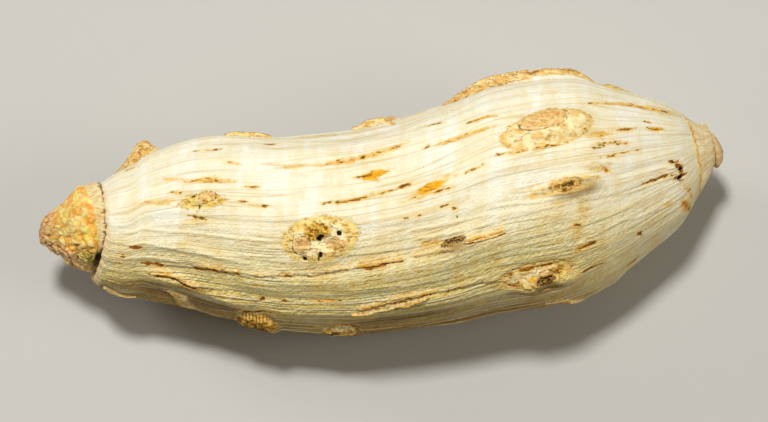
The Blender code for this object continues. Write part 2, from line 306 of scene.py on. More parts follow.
# Round holes and dark specks: where they are in the photograph, and their size in millimetres.
Hole = namedtuple("Hole", "x y half_length half_width")
HOLES = tuple(Hole(*row) for row in (
    (319, 239, 0.22, 0.16),
    (322, 236, 0.18, 0.13),
    (338.5, 233, 0.18, 0.18),
    (326, 244, 0.09, 0.09),
    (304, 254, 0.07, 0.16),
    (304.5, 259, 0.17, 0.13),
    (320, 255, 0.15, 0.18),
    (319, 259, 0.08, 0.13),
    (194, 196, 0.14, 0.11),
    (199, 206, 0.06, 0.11),
    (198, 210, 0.06, 0.09),
    (680.5, 169, 0.15, 0.19),
    (680.5, 178, 0.2, 0.19),
    (673, 162, 0.14, 0.05),
    (684, 174.5, 0.12, 0.05),
    (644, 121, 0.1, 0.07),
    (261, 220, 0.05, 0.05),
    (250, 241, 0.06, 0.06),
    (423, 167, 0.06, 0.05),
    (457, 217, 0.06, 0.06),
    (456, 225, 0.06, 0.06),
))

# The coloured areas: where each is in the photograph, and its half length and half width in millimetres.
# The kind is tan for corky root bases, scaly for the broken papery skin round them, plate for a smooth
# root stump, bare for smooth pale flesh, stain for a soft tan wash, comb for a row of teeth, core for the
# gold grains in the middle, dark for a brown pit, amber for a bright blotch, pale for a light spot, shade
# for painted shade, skin darkened as below a fold, gold for an orange outline and ring for a dark one.
AREAS = {
    "amber": (
        (374, 175, 0.95, 0.38), (430, 187, 0.95, 0.36), (656, 129, 0.5, 0.16), (533, 281, 0.28, 0.14),
    ),
    "scaly": (
        (202, 200, 1.8, 0.6), (320, 239, 2.85, 1.6), (535, 276, 2.5, 0.94),
    ),
    "plate": (
        (207, 196, 0.68, 0.38), (302, 245, 0.58, 0.54), (336, 245, 0.8, 0.4), (544, 117.5, 1.8, 0.86),
        (567, 184.5, 1.2, 0.42), (545, 281, 0.95, 0.56), (452, 242, 0.75, 0.24),
    ),
    "ring": (
        (207, 196, 0.68, 0.38), (301, 245.5, 0.66, 0.6), (547, 126, 3.25, 1.44), (544, 117.5, 1.8, 0.86),
        (567, 184.5, 1.1, 0.38), (535, 276, 2.5, 0.94), (545, 281, 0.98, 0.58), (452, 242, 0.78, 0.26),
    ),
    "stain": (
        (196, 217, 0.75, 0.16), (565, 184, 2.5, 0.58), (584, 186, 1.4, 0.4), (451, 242, 1.1, 0.42),
        (602, 134, 1.3, 0.45), (598, 168, 1.1, 0.5), (196, 222, 1.0, 0.4), (660, 110, 1.7, 0.6),
        (584, 208, 0.5, 1.1), (577, 230, 0.6, 0.9), (650, 225, 0.6, 0.4), (598, 262, 0.9, 0.4),
    ),
    "core": (
        (317.5, 232, 1.02, 0.62), (338, 247, 0.5, 0.16), (567, 185, 0.96, 0.3), (545, 281.5, 0.74, 0.42),
        (519, 285, 0.34, 0.22), (557, 269, 0.55, 0.22), (256, 326, 1.4, 0.6), (342, 331, 1.15, 0.48),
    ),
    "bare": (
        (547, 126, 3.3, 1.48), (531, 274, 2.0, 0.66),
    ),
    "gold": (
        (547, 126, 3.2, 1.4), (535, 276, 2.42, 0.88),
    ),
    "dark": (
        (566, 184, 0.66, 0.16), (546, 282, 0.66, 0.36), (452, 242, 0.92, 0.26), (258, 330, 1.0, 0.24),
        (333, 335, 0.5, 0.16),
    ),
    "pale": (
        (524, 272, 0.7, 0.26), (342, 330, 1.0, 0.32),
    ),
    "tan": (
        (254, 320, 1.4, 0.95), (340, 331, 1.3, 0.85),
    ),
    "comb": ((255, 318, 1.25, 0.42),),
    "shade": (
        (140, 283, 2.4, 0.4), (168, 292, 2.2, 0.5), (188, 289, 1.4, 0.3), (205, 304, 2.6, 0.6),
        (400, 318, 4.0, 0.45), (456, 247, 1.3, 0.25), (580, 190, 1.5, 0.42), (506, 282, 0.9, 0.45),
        (540, 292, 2.2, 0.34),
    ),
}
AREA_TILT = math.tan(math.radians(5))

# The tan band of an old scar on the far side and the tan root bases there, and what the scars that the
# photograph doesn't show are made of: the kind, and its shares of the scar's length and width.
FAR_BANDS = SCARS[9:13]
FAR_LAYERS = (("tan", 0.95, 0.9),)
HIDDEN_LAYERS = (("scaly", 1.0, 1.0), ("plate", 0.5, 0.5), ("ring", 0.5, 0.5), ("core", 0.25, 0.28))


def smooth(t):
    """From 0 to 1 as t goes from 0 to 1, with level ends."""
    t = np.clip(t, 0.0, 1.0)
    return t * t * (3 - 2 * t)


def turned(angle):
    """An angle in degrees as the same turn between -180 and 180."""
    return (angle + 180) % 360 - 180


def noise_at(points, size=1.0):
    """Blender's own noise at each point of an array whose last axis is x, y, z."""
    spots = (points / size).reshape(-1, 3).tolist()
    return np.array([noise.noise(spot) for spot in spots]).reshape(points.shape[:-1])


def cells_at(points, size):
    """For each point, how far the nearest two cell middles are, in cell sizes, and the cell's own number."""
    near, second, own = [], [], []
    for spot in (points / size).reshape(-1, 3).tolist():
        gaps, middles = noise.voronoi(spot)
        near.append(gaps[0])
        second.append(gaps[1])
        own.append(abs(noise.cell(middles[0] * 7.31)))
    shape = points.shape[:-1]
    return (np.array(values).reshape(shape) for values in (near, second, own))


def slopes(places, values):
    """A slope at each place for a curve that never overshoots the values."""
    steps = np.diff(values) / np.diff(places)
    inner = [
        2 * a * b / (a + b) if a * b > 0 else 0.0 for a, b in zip(steps, steps[1:])
    ]
    return [steps[0], *inner, steps[-1]]


def hermite(start, end, slope_out, slope_in, t):
    """The cubic from start to end that leaves and arrives with those slopes."""
    return (
        start * (1 + 2 * t) * (1 - t) ** 2
        + slope_out * t * (1 - t) ** 2
        + end * t * t * (3 - 2 * t)
        - slope_in * t * t * (1 - t)
    )


def rings_along(stations, step=None):
    """Rings read off one smooth curve: as many as the solid has, or one for each step millimetres."""
    places = [0.0]
    for before, after in zip(stations, stations[1:]):
        reach = math.hypot(after.x - before.x, after.half_width - before.half_width)
        places.append(places[-1] + reach)
    columns = [[float(value) for value in column] for column in zip(*stations)]
    columns = [(column, slopes(places, column)) for column in columns]
    rings = []
    for i, station in enumerate(stations[:-1]):
        span = places[i + 1] - places[i]
        count = max(1, round(span / step)) if step else station.rings
        for k in range(count):
            t = k / count
            values = [
                hermite(column[i], column[i + 1], lean[i] * span, lean[i + 1] * span, t)
                for column, lean in columns
            ]
            rings.append(Station(*values))
    return [*rings, stations[-1]]


def narrowed(ring, ahead, by):
    """The ring moved ahead along the axis and drawn in all round."""
    half_width, half_height = ring.half_width - by, ring.half_height - by
    return ring._replace(x=ring.x + ahead, half_width=half_width, half_height=half_height)


def on_axis(station, ahead):
    """The point of the axis that far ahead of a station."""
    return station.x + ahead, station.y, station.z


def ridge_height(ridge, x, angle):
    """A crest with two flanks, which fades out at both its ends."""
    share = (x - ridge.x_from) / (ridge.x_to - ridge.x_from)
    middle = ridge.angle_from + smooth(share) * (ridge.angle_to - ridge.angle_from)
    off = np.clip(abs(turned(angle - middle)) / ridge.half_angle, 0, 1)
    from_end = np.minimum(x - ridge.x_from, ridge.x_to - x)
    return ridge.height * smooth(from_end / RIDGE_FADE) * (1 - off) ** 2


def scar_height(scar, x, angle, radius):
    """A raised patch with a sunken middle, or a hollow where the height is below zero."""
    across = np.radians(turned(angle - scar.angle)) * radius
    off = np.hypot((x - scar.x) / scar.half_length, across / scar.half_width)
    patch = scar.height * smooth((1 - off) / scar.edge)
    return patch - scar.pit * smooth(1 - off / PIT_SHARE)


def round_axis(x, angle, along, around):
    """Points of the noise field: long along the axis, and without a seam round it."""
    turn = np.radians(angle)
    return np.stack([x / along, np.cos(turn) * around, np.sin(turn) * around], axis=-1)


class Skin:
    """A grid over the tuber: its rings' numbers, its angles, and where its points lie."""

    def __init__(self, rings, around):
        self.rings = rings
        columns = np.array(rings)[:, :7, None].transpose(1, 0, 2)
        self.axis_x, self.axis_y, self.axis_z, self.wide, self.high, self.lean_y, self.lean_z = columns
        angles = np.arange(around)[None, :] * 360 / around
        self.x = self.axis_x + 0 * angles
        self.angle = angles + 0 * self.axis_x
        self.radius = (self.wide + self.high) / 2 + 0 * angles
        self.out = np.zeros(self.x.shape)
        self.ahead = np.zeros(self.x.shape)

    def points(self, level=REST_LEVEL):
        """The points in millimetres, with out millimetres of relief, ahead of their ring by ahead."""
        turn = np.radians(self.angle)
        across = (self.wide + self.out) * np.cos(turn)
        up = (self.high + self.out) * np.sin(turn)
        x = self.axis_x + self.lean_y * across + self.lean_z * up + self.ahead
        z = np.maximum(self.axis_z + up, level)
        return np.stack([x, self.axis_y + across, z], axis=-1)


def solid_relief(skin):
    """The relief that the solid has too, past its broken tip."""
    x, angle, radius = skin.x, skin.angle, skin.radius
    from_end = np.minimum(x - TORN_EDGE_X, BUD_COLLAR_X - x)
    swell = noise_at(round_axis(x, angle, SWELL_LENGTH, SWELL_AROUND))
    wrinkle = noise_at(round_axis(x, angle, WRINKLE_LENGTH, WRINKLE_AROUND))
    height = SWELL_HEIGHT * swell * smooth(from_end / SWELL_FADE)
    height += WRINKLE_HEIGHT * wrinkle * smooth(from_end / WRINKLE_FADE)
    for ridge in RIDGES:
        height += ridge_height(ridge, x, angle)
    for scar in SCARS:
        height += scar_height(scar, x, angle, radius)
    return height


def frame_shift():
    """What carries the stations' own millimetres to the frame's, where the solid is set down."""
    skin = Skin(rings_along(STATIONS), SOLID_AROUND)
    skin.out = solid_relief(skin) * (skin.x >= TORN_EDGE_X)
    points = skin.points().reshape(-1, 3)
    low, high = points.min(axis=0), points.max(axis=0)
    solid_low, solid_high = (np.array(corner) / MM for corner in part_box("tuber"))
    shift = (solid_low + solid_high - low - high) / 2
    shift[2] = solid_low[2] - low[2]
    return shift


SHIFT = frame_shift()


class View:
    """Which point of the skin shows at a pixel of the photograph."""

    def __init__(self, step=0.12, around=720):
        self.skin = Skin(rings_along(STATIONS, step), around)
        self.skin.out = solid_relief(self.skin)
        away = self.skin.points() + SHIFT - EYE
        scale = FOCAL_PIXELS / -(away @ BACK)
        self.across = IMAGE_WIDTH / 2 + (away @ RIGHT) * scale
        self.down = IMAGE_HEIGHT / 2 - (away @ UP) * scale
        turn = np.radians(self.skin.angle)
        facing = np.cos(turn) * BACK[1] + np.sin(turn) * BACK[2]
        self.hidden = np.where(facing > 0, 0.0, IMAGE_WIDTH)

    def spot(self, x, y):
        gap = np.hypot(self.across - x, self.down - y) + self.hidden
        row, column = np.unravel_index(gap.argmin(), gap.shape)
        return self.skin.x[row, column], self.skin.angle[row, column]

    def path(self, pixels):
        return [self.spot(x, y) for x, y in pixels]


def along_path(path, x, angle, radius):
    """Each point's distance from a path on the skin, its side of it, and the share of the path behind it."""
    legs = []
    for (x_from, a_from), (x_to, a_to) in zip(path, path[1:]):
        middle_radius = np.interp((x_from + x_to) / 2, RADIUS_AT[0], RADIUS_AT[1])
        legs.append(math.hypot(x_to - x_from, math.radians(turned(a_to - a_from)) * middle_radius))
    gap = np.full(x.shape, np.inf)
    side = np.zeros(x.shape)
    share = np.zeros(x.shape)
    done = 0.0
    for (x_from, a_from), (x_to, a_to), leg in zip(path, path[1:], legs):
        along, across = x - x_from, np.radians(turned(angle - a_from)) * radius
        run, rise = x_to - x_from, math.radians(turned(a_to - a_from)) * radius
        t = np.clip((along * run + across * rise) / (run * run + rise * rise + 1e-9), 0, 1)
        here = np.hypot(along - t * run, across - t * rise)
        closer = here < gap
        gap = np.where(closer, here, gap)
        side = np.where(closer, across - t * rise, side)
        share = np.where(closer, (done + t * leg) / sum(legs), share)
        done += leg
    return gap, side, share


RADIUS_AT = np.array([(s.x, (s.half_width + s.half_height) / 2) for s in STATIONS]).T


# Where the skin ends at the broken tip, and where it meets the bud, in millimetres along the axis. The torn
# edge and the near side of the collar under it are pixels of the photograph, from the top down.
SKIN_FROM, SKIN_TO = -20.66, 22.42
TORN_EDGE = ((96, 185), (98, 191), (102, 202), (105, 213), (106, 234), (105, 244), (102, 254), (97, 270))
COLLAR_EDGE = ((82, 189), (88, 197), (94, 210), (97, 225), (98, 240), (97, 250), (92, 262))
FAR_OUTSIDE = -0.6
NO_FLOOR = -9.0


def raise_to(field, value):
    np.maximum(field, value, out=field)


def edge_at(view, pixels, angle):
    """Where an edge that is drawn in the photograph lies along the axis, at each angle round it."""
    spots = sorted(((view.spot(x, y)) for x, y in pixels), key=lambda spot: spot[1])
    places, angles = zip(*spots)
    return np.interp(angle, angles, places, period=360)


class Marks:
    """How deep inside the edge of a mark of each kind each point lies, in millimetres."""

    KINDS = (
        "ochre", "umber", "hole", "tan", "scaly", "plate", "bare", "stain",
        "comb", "core", "pale", "ring", "amber", "dark", "lip", "shade",
    )

    def __init__(self, skin):
        self.skin = skin
        self.fields = {kind: np.full(skin.x.shape, FAR_OUTSIDE) for kind in self.KINDS}

    def inside(self, x, angle, half_length, half_width):
        """How deep inside an ellipse on the skin each point lies."""
        along = self.skin.x - x
        across = np.radians(turned(self.skin.angle - angle)) * self.skin.radius + AREA_TILT * along
        off = np.hypot(along / half_length, across / half_width)
        return (1 - off) * min(half_length, half_width)

    def streak(self, path, half_width, core):
        gap, _, share = along_path(path, self.skin.x, self.skin.angle, self.skin.radius)
        width = half_width * np.sin(np.pi * np.clip(share, 0.001, 0.999)) ** 0.6
        raise_to(self.fields["ochre"], width - gap)
        if core:
            raise_to(self.fields["umber"], width * core - gap)
        self.skin.out -= 0.03 * smooth((width - gap) / 0.15)

    def fold(self, path, height, brown):
        """A thin ridge, or where it has browned a lip and a crack, with a painted highlight on the lip and a
        painted shadow below.
        """
        _, side, share = along_path(path, self.skin.x, self.skin.angle, self.skin.radius)
        side = side + 0.07 * noise_at(round_axis(self.skin.x, self.skin.angle, 0.8, 3.0))
        ends = smooth(7 * share) * smooth(7 * (1 - share))
        # Painted highlight along the lip and painted shadow just below the fold.
        raise_to(self.fields["lip"], 0.07 - abs(side + 0.10) - 0.3 * (1 - ends))
        raise_to(self.fields["shade"], 0.04 - 3.0 * abs(side - 0.10) - 0.5 * (1 - ends))
        if brown:
            lip = height * smooth(1 + side / 0.60)
            trench = -1.1 * height * smooth(1 - side / 0.26)
            self.skin.out += ends * np.where(side < 0, lip, trench)
            raise_to(self.fields["umber"], 0.17 * brown - 0.05 - abs(side - 0.08) - 0.3 * (1 - ends))
            raise_to(self.fields["ochre"], 0.20 * brown - abs(side + 0.06) - 0.3 * (1 - ends))
            raise_to(self.fields["bare"], 0.26 * brown - abs(side + 0.30) - 0.3 * (1 - ends))
        else:
            self.skin.out += ends * height * smooth(1 - abs(side) / 0.24)

    def hole(self, x, angle, half_length, half_width):
        depth = self.inside(x, angle, half_length, half_width)
        raise_to(self.fields["hole"], depth)
        self.skin.out -= 0.40 * smooth(0.3 + depth / 0.12)

    def area(self, x, angle, half_length, half_width, kind):
        depth = self.inside(x, angle, half_length, half_width)
        if kind == "ring":
            raise_to(self.fields["ring"], 1 - abs(depth) / 0.12)
            self.skin.out -= 0.05 * smooth(1 - abs(depth) / 0.10)
        elif kind == "dark":
            raise_to(self.fields["dark"], depth)
            self.skin.out -= 0.18 * smooth(depth / 0.2)
        elif kind == "gold":
            raise_to(self.fields["ochre"], 0.03 - abs(depth))
            self.skin.out -= 0.03 * smooth(1 - abs(depth) / 0.12)
        else:
            raise_to(self.fields[kind], depth)

    def roughen(self):
        """Torn layers in the scars, the crumbs of their dark cores and the teeth of the comb."""
        spots = self.skin.points(NO_FLOOR)
        for kind, height in LAYERED:
            near = self.fields[kind] > -0.2
            share = smooth(0.4 + self.fields[kind][near] / 0.25)
            layers = noise_at(spots[near], 0.55) + 0.6 * noise_at(spots[near], 0.24)
            self.skin.out[near] += share * height * (smooth(1.5 * layers + 0.5) - 0.5)
        near = self.fields["core"] > -0.1
        first, _, own = cells_at(spots[near], CORE_CRUMB)
        share = smooth(0.4 + self.fields["core"][near] / 0.2)
        self.skin.out[near] += share * (0.14 * (own - 0.3 - first) - 0.04)
        teeth = 0.5 + 0.5 * np.cos(self.skin.x * 2 * np.pi / COMB_PITCH)
        self.skin.out += 0.08 * smooth(self.fields["comb"] / 0.15) * (teeth - 0.3)


# How high the torn layers stand, by kind, and the size of a core's crumbs and of the comb's teeth.
LAYERED = (("tan", 0.11), ("scaly", 0.08), ("bare", 0.05), ("plate", 0.04))
CORE_CRUMB = 0.24
COMB_PITCH = 0.25


def paint(skin, view):
    """All the marks on a skin: those of the photograph, and those on the sides that it doesn't show."""
    marks = Marks(skin)
    for streak in STREAKS:
        marks.streak(view.path(streak.path), streak.half_width, streak.core)
    for fold in FOLDS:
        marks.fold(view.path(fold.path), fold.height, fold.brown)
    for kind, areas in AREAS.items():
        for x, y, half_length, half_width in areas:
            marks.area(*view.spot(x, y), half_length, half_width, kind)
    for scars, layers in ((FAR_BANDS, FAR_LAYERS), (HIDDEN_SCARS, HIDDEN_LAYERS)):
        for scar in scars:
            for kind, length, width in layers:
                marks.area(scar.x, scar.angle, length * scar.half_length, width * scar.half_width, kind)
    hidden_marks(marks)
    for hole in HOLES:
        marks.hole(*view.spot(hole.x, hole.y), hole.half_length, hole.half_width)
    marks.roughen()
    return marks.fields


HIDDEN_STREAKS, HIDDEN_FOLDS, HIDDEN_FROM, HIDDEN_TO = 46, 12, 206, 372


def hidden_marks(marks):
    """Streaks and folds like those that show, drawn over the sides that the photograph doesn't show."""
    draw = np.random.default_rng(5)
    for _ in range(HIDDEN_STREAKS):
        x, angle = draw.uniform(-19, 20), draw.uniform(HIDDEN_FROM, HIDDEN_TO)
        path = short_path(x, angle, draw.uniform(0.8, 3.6), draw.uniform(-3, 3))
        marks.streak(path, draw.uniform(0.07, 0.24), draw.choice([0.0, 0.3, 0.8]))
    for _ in range(HIDDEN_FOLDS):
        x, angle = draw.uniform(-18, 10), draw.uniform(HIDDEN_FROM + 6, HIDDEN_TO - 10)
        path = short_path(x, angle, draw.uniform(4, 9), draw.uniform(-5, 5))
        marks.fold(path, draw.uniform(0.06, 0.13), draw.uniform(0, 0.8))


def short_path(x, angle, length, drift):
    """Three points in a row, from a place on the skin to one that is length further and drift round."""
    return [(x + share * length, angle + share * drift) for share in (0.0, 0.5, 1.0)]


def fibre_angle(skin):
    """The angle that a fibre keeps: it drifts round the tuber by a third of a degree a millimetre."""
    return skin.angle + FIBRE_TWIST * skin.x


def crease_relief(skin):
    """The creases as steps along the fibres, and for each kind how far it drifts and how strong it is."""
    height, fields = np.zeros(skin.x.shape), {}
    calm = CALM_SHARE + (1 - CALM_SHARE) * smooth(abs(turned(skin.angle - CALM_ANGLE)) / CALM_TURN - 0.1)
    for i, crease in enumerate(CREASES):
        drift = noise_at(round_axis(skin.x + 31 * i, skin.angle, 11.0, 2.4))
        wave = noise_at(round_axis(skin.x + 57 * i, skin.angle, 2.5, 6.0))
        shift = crease.drift * drift + 0.05 * wave
        share = (fibre_angle(skin) * crease.count / 360 + shift) % 1
        patches = noise_at(round_axis(skin.x + 83 * i, fibre_angle(skin), 5.0, 7.0))
        strength = calm * smooth(0.5 + 1.6 * patches)
        step = np.minimum(smooth(share / (1 - crease.steep)), smooth((1 - share) / crease.steep))
        height += crease.height * strength * (step - 0.5)
        fields[f"shift_{i}"], fields[f"strength_{i}"] = shift, strength
    return height, fields


def fibre_vectors(skin):
    turn = np.radians(fibre_angle(skin))
    return np.stack([skin.x, FIBRE_RADIUS * np.cos(turn), FIBRE_RADIUS * np.sin(turn)], axis=-1)


def closed_grid(name, points, start, end, fields):
    """A closed mesh of rings of points with a point before the first ring and one after the last."""
    rows, around = points.shape[:2]
    spots = np.concatenate([[start], points.reshape(-1, 3), [end]])
    index = 1 + np.arange(rows * around).reshape(rows, around)
    following = np.roll(index, -1, axis=1)
    quads = np.stack([index[:-1], following[:-1], following[1:], index[1:]], axis=-1)
    last = rows * around + 1
    first_fan = [(0, b, a) for a, b in zip(index[0].tolist(), following[0].tolist())]
    last_fan = [(last, a, b) for a, b in zip(index[-1].tolist(), following[-1].tolist())]
    piece = make_piece(name, spots, first_fan + quads.reshape(-1, 4).tolist() + last_fan)
    for field, values in fields.items():
        store(piece.data, field, values)
    return piece


def make_piece(name, spots, faces):
    """A smooth mesh from points in the stations' millimetres."""
    mesh = bpy.data.meshes.new(name)
    mesh.from_pydata(((spots + SHIFT) * MM).tolist(), [], faces)
    mesh.shade_smooth()
    return in_scene(name, mesh)


def in_scene(name, data):
    """A new object of the scene that holds the data."""
    made = bpy.data.objects.new(name, data)
    bpy.context.scene.collection.objects.link(made)
    return made


def store(mesh, name, values):
    """Keeps one number, or one vector, for each point of a grid, and repeats the nearest at its two ends."""
    wide = values.ndim == 3
    flat = values.reshape(-1, 3) if wide else values.reshape(-1)
    flat = np.concatenate([flat[:1], flat, flat[-1:]]).astype(np.float32)
    kind, key = ("FLOAT_VECTOR", "vector") if wide else ("FLOAT", "value")
    mesh.attributes.new(name, kind, "POINT").data.foreach_set(key, flat.ravel())


RIM_LENGTH, RIM_PARED, RIM_PARED_LENGTH = 3.2, 0.45, 2.2

# The angle round which the skin has painted shade, darker and more olive, and is more creased.
LOWER_ANGLE = 235


def torn_edge(skin, view):
    """Bends the skin's edge at the broken tip to where it shows, pares its far side and frays it."""
    behind = skin.x - SKIN_FROM
    bend = edge_at(view, TORN_EDGE, skin.angle) - SKIN_FROM
    skin.ahead += bend * smooth(1 - behind / RIM_LENGTH)
    far = smooth(1 - abs(turned(skin.angle - 15)) / 75)
    near_low = 0.8 * smooth(1 - abs(turned(skin.angle - 205)) / 50)
    skin.out -= RIM_PARED * (far + near_low) * smooth(1 - behind / RIM_PARED_LENGTH)
    near = smooth(1 - behind / 0.9)
    fray = noise_at(round_axis(skin.x * 0, skin.angle, 1.0, 11.0))
    coarse = noise_at(round_axis(skin.x * 0, skin.angle, 1.0, 2.5))
    skin.ahead += near * (0.14 * fray + 0.14 * coarse)
    skin.out += 0.09 * near * noise_at(round_axis(skin.x, skin.angle, 0.9, 14.0))


def make_skin(view):
    rings = [ring for ring in rings_along(STATIONS, SKIN_STEP) if SKIN_FROM <= ring.x <= SKIN_TO]
    first, last = rings[0], rings[-1]
    skin = Skin([narrowed(first, 0.10, 0.60), narrowed(first, -0.04, 0.16), *rings], SKIN_AROUND)
    skin.out = solid_relief(skin)
    fields = paint(skin, view)
    rough = np.maximum.reduce([fields[kind] for kind in ("scaly", "tan", "plate", "core")])
    bare = smooth(1 - (rough + 0.2) / 0.3) * smooth((SKIN_TO - skin.x) / 1.5)
    height, crease_fields = crease_relief(skin)
    skin.out += height * bare
    torn_edge(skin, view)
    below = abs(turned(skin.angle - LOWER_ANGLE))
    right = 0.5 * smooth((skin.x - 12) / 6) + 0.3 * smooth((skin.x - 17) / 4)
    fields |= crease_fields
    fields |= {
        "clear": bare,
        # Painted shade over the lower side, eased off at the right end; it also strengthens the creases and
        # puckers there.
        "lower": smooth((140 - below) / 62) * (1 - right),
        # Painted shade, darker still, over the underside.
        "deep": smooth((90 - below) / 44) * (1 - 0.7 * smooth((skin.x - 9) / 8)),
        "fibre": fibre_vectors(skin),
        "place": skin.points(),
        "edge": skin.x - SKIN_FROM,
    }
    return closed_grid("skin", skin.points(), on_axis(first, 0.8), on_axis(last, -0.3), fields)


# The broken tip: where it ends under the skin, its coarse grains, the crumbs on them, and how far the collar
# stands out, in millimetres.
TIP_TO = -20.75
GRAIN_SIZE, GRAIN_HEIGHT, GRAIN_LEVEL = 1.05, 0.30, 0.45
CRUMB_SIZE = 0.46
COLLAR_RAISED = 0.45

# Places on the tip in the photograph's pixels, with half sizes in millimetres: a greenish lump, the gap below
# it, which gets a painted shadow, and areas of colour, the middle one a painted highlight. All that lies
# before PINK_BEFORE is pink too.
LUMP_AT, LUMP_SIZE = (88, 257), (0.72, 0.52)
GAP_AT = (97, 262)
TIP_AREAS = {
    "amber": ((60, 203), (1.5, 0.9)),
    "glint_highlight": ((68, 227), (1.0, 0.8)),
    "pink": ((64, 253), (1.5, 0.9)),
}
PINK_BEFORE = -23.9


def make_tip(view):
    """The broken tip: a cone of starchy grains with a smooth collar next to the torn skin."""
    rings = [ring for ring in rings_along(STATIONS, TIP_STEP) if ring.x <= TIP_TO][1:]
    last = rings[-1]
    skin = Skin([*rings, narrowed(last, 0.35, 0.15)], TIP_AROUND)
    past_collar = skin.x - edge_at(view, COLLAR_EDGE, skin.angle)
    spots = skin.points(NO_FLOOR)
    second_less_near, own = tip_relief(skin, spots, past_collar)
    marks = Marks(skin)
    lump = marks.inside(*view.spot(*LUMP_AT), *LUMP_SIZE) + 0.20 * noise_at(spots, 0.34)
    skin.out += 0.30 * smooth(lump / 0.45)
    gap_angle = view.spot(*GAP_AT)[1]
    gap = smooth(1 - abs(turned(skin.angle - gap_angle)) / 34) * smooth(past_collar / 0.3)
    skin.out -= 0.60 * gap
    fields = {kind: marks.inside(*view.spot(*at), *size) for kind, (at, size) in TIP_AREAS.items()}
    fields["pink"] = np.maximum(fields["pink"], PINK_BEFORE - skin.x)
    fields |= {
        "fibre": fibre_vectors(skin),
        "crevice": second_less_near,
        "own": own,
        "collar": past_collar,
        # The dark line under the torn skin's edge: the crack's own colour and painted shade.
        "crack": skin.x - edge_at(view, TORN_EDGE, skin.angle),
        "lump": lump,
        "gap": gap,
    }
    return closed_grid("broken_tip", skin.points(), on_axis(STATIONS[0], 0.07), on_axis(last, 0.6), fields)


def tip_relief(skin, spots, past_collar):
    """Raises the grains and the collar, and gives how near a crevice each point is and its grain's number."""
    collar = smooth(0.5 + past_collar / 0.25)
    warp = np.stack([noise_at(spots + 17 * axis, 0.45) for axis in range(3)], axis=-1)
    near, second, own = cells_at(spots + 0.22 * warp, CRUMB_SIZE)
    coarse, _, _ = cells_at(spots, GRAIN_SIZE)
    room = smooth(skin.radius / 0.8)
    skin.out += GRAIN_HEIGHT * room * (GRAIN_LEVEL - coarse) * (1 - collar)
    skin.out += room * (1 - collar) * (0.13 * (0.75 - near ** 2 * 2.2) + 0.16 * (own - 0.5))
    skin.out += collar * 0.04 * noise_at(round_axis(skin.x, skin.angle, 0.5, 9.0))
    skin.out += COLLAR_RAISED * smooth(past_collar / 0.8) * smooth(1.3 - abs(turned(skin.angle - 95)) / 75)
    return second - near, own


# The bud along the axis, in millimetres: its start, its two rings, the dark line at the second, the cone that
# is pared on its near side, and the cap that is wider.
BUD_FROM = 22.38
FIRST_RING_X, SECOND_RING_X, DARK_LINE_X = 22.47, 24.01, 24.08
CONE_MIDDLE, CONE_PARED = 23.5, 0.22
CAP_MIDDLE, CAP_WIDER = 24.28, 0.26


def make_bud(view):
    """The bud: a short cone between two rings, and the bud's own tip."""
    rings = [ring for ring in rings_along(STATIONS, BUD_STEP) if ring.x >= BUD_FROM][:-1]
    first = rings[0]
    skin = Skin([narrowed(first, -0.15, 0.5), *rings], BUD_AROUND)
    skin.out += 0.3 * scar_height(BUD_SCAR, skin.x, skin.angle, skin.radius)
    skin.out += CAP_WIDER * smooth(1 - abs(skin.x - CAP_MIDDLE) / 0.38)
    cone = smooth(1 - abs(turned(skin.angle - 190)) / 80) * smooth(1 - abs(skin.x - CONE_MIDDLE) / 0.8)
    skin.out -= CONE_PARED * cone
    skin.out += 0.05 * noise_at(round_axis(skin.x, skin.angle, 2.0, 9.0))
    skin.out += 0.04 * noise_at(skin.points(NO_FLOOR), 0.35)
    first_ring = 0.15 - abs(skin.x - FIRST_RING_X)
    second_ring = 0.12 - abs(skin.x - SECOND_RING_X)
    skin.out += 0.07 * smooth(first_ring / 0.10)
    fields = {
        "fibre": fibre_vectors(skin),
        "rim": np.maximum(first_ring, second_ring),
        "along": skin.x,
    }
    return closed_grid("bud", skin.points(), on_axis(first, -0.4), on_axis(STATIONS[-1], 0.0), fields)


def make_flake(name, view, flake):
    """A thin ragged strip of skin, rooted under the surface along its path."""
    spots = view.path(flake.path)
    count = max(8, round(abs(spots[-1][0] - spots[0][0]) / FLAKE_STEP))
    along = np.linspace(0, 1, count)
    known = np.linspace(0, 1, len(spots))
    xs = np.interp(along, known, [x for x, _ in spots])
    angles = np.interp(along, known, np.unwrap([a for _, a in spots], period=360))
    ragged = noise_at(np.stack([xs / 0.8, angles * 0, xs * 0 + flake.reach], axis=-1))
    taper = np.sin(np.pi * np.clip(along, 0.01, 0.99)) ** 0.5
    reach = flake.reach * taper * np.clip(0.9 + 0.5 * ragged, 0.4, 1.3)
    out_share = np.concatenate([np.linspace(0, 1, FLAKE_ACROSS), np.linspace(1, 0, FLAKE_ACROSS)])
    top = np.concatenate([np.ones(FLAKE_ACROSS), np.zeros(FLAKE_ACROSS)])
    rows = abs(view.skin.x[:, :1] - xs[None, :]).argmin(axis=0)[:, None]
    radius = view.skin.radius[rows[:, 0], 0][:, None]
    turn = angles[:, None] + np.degrees(reach[:, None] * out_share / radius)
    columns = np.round(turn / 360 * view.skin.x.shape[1]).astype(int) % view.skin.x.shape[1]
    lift = -0.06 + (flake.lift + 0.06) * out_share ** 1.3 + FLAKE_THICKNESS * (top - 0.5) * (1.3 - out_share)
    facing = np.stack([0 * turn, np.cos(np.radians(turn)), np.sin(np.radians(turn))], axis=-1)
    points = view.skin.points()[rows, columns] + lift[..., None] * facing
    if flake.reach < 0:
        points = points[:, ::-1]
    fields = {"place": points, "free": np.broadcast_to(out_share, turn.shape)}
    return closed_grid(name, points, points[0].mean(axis=0), points[-1].mean(axis=0), fields)


def colour(red, green, blue):
    """The linear colour for screen values from 0 to 255."""
    channels = [value / 255 for value in (red, green, blue)]
    linear = [c / 12.92 if c <= 0.04045 else ((c + 0.055) / 1.055) ** 2.4 for c in channels]
    return (*linear, 1.0)


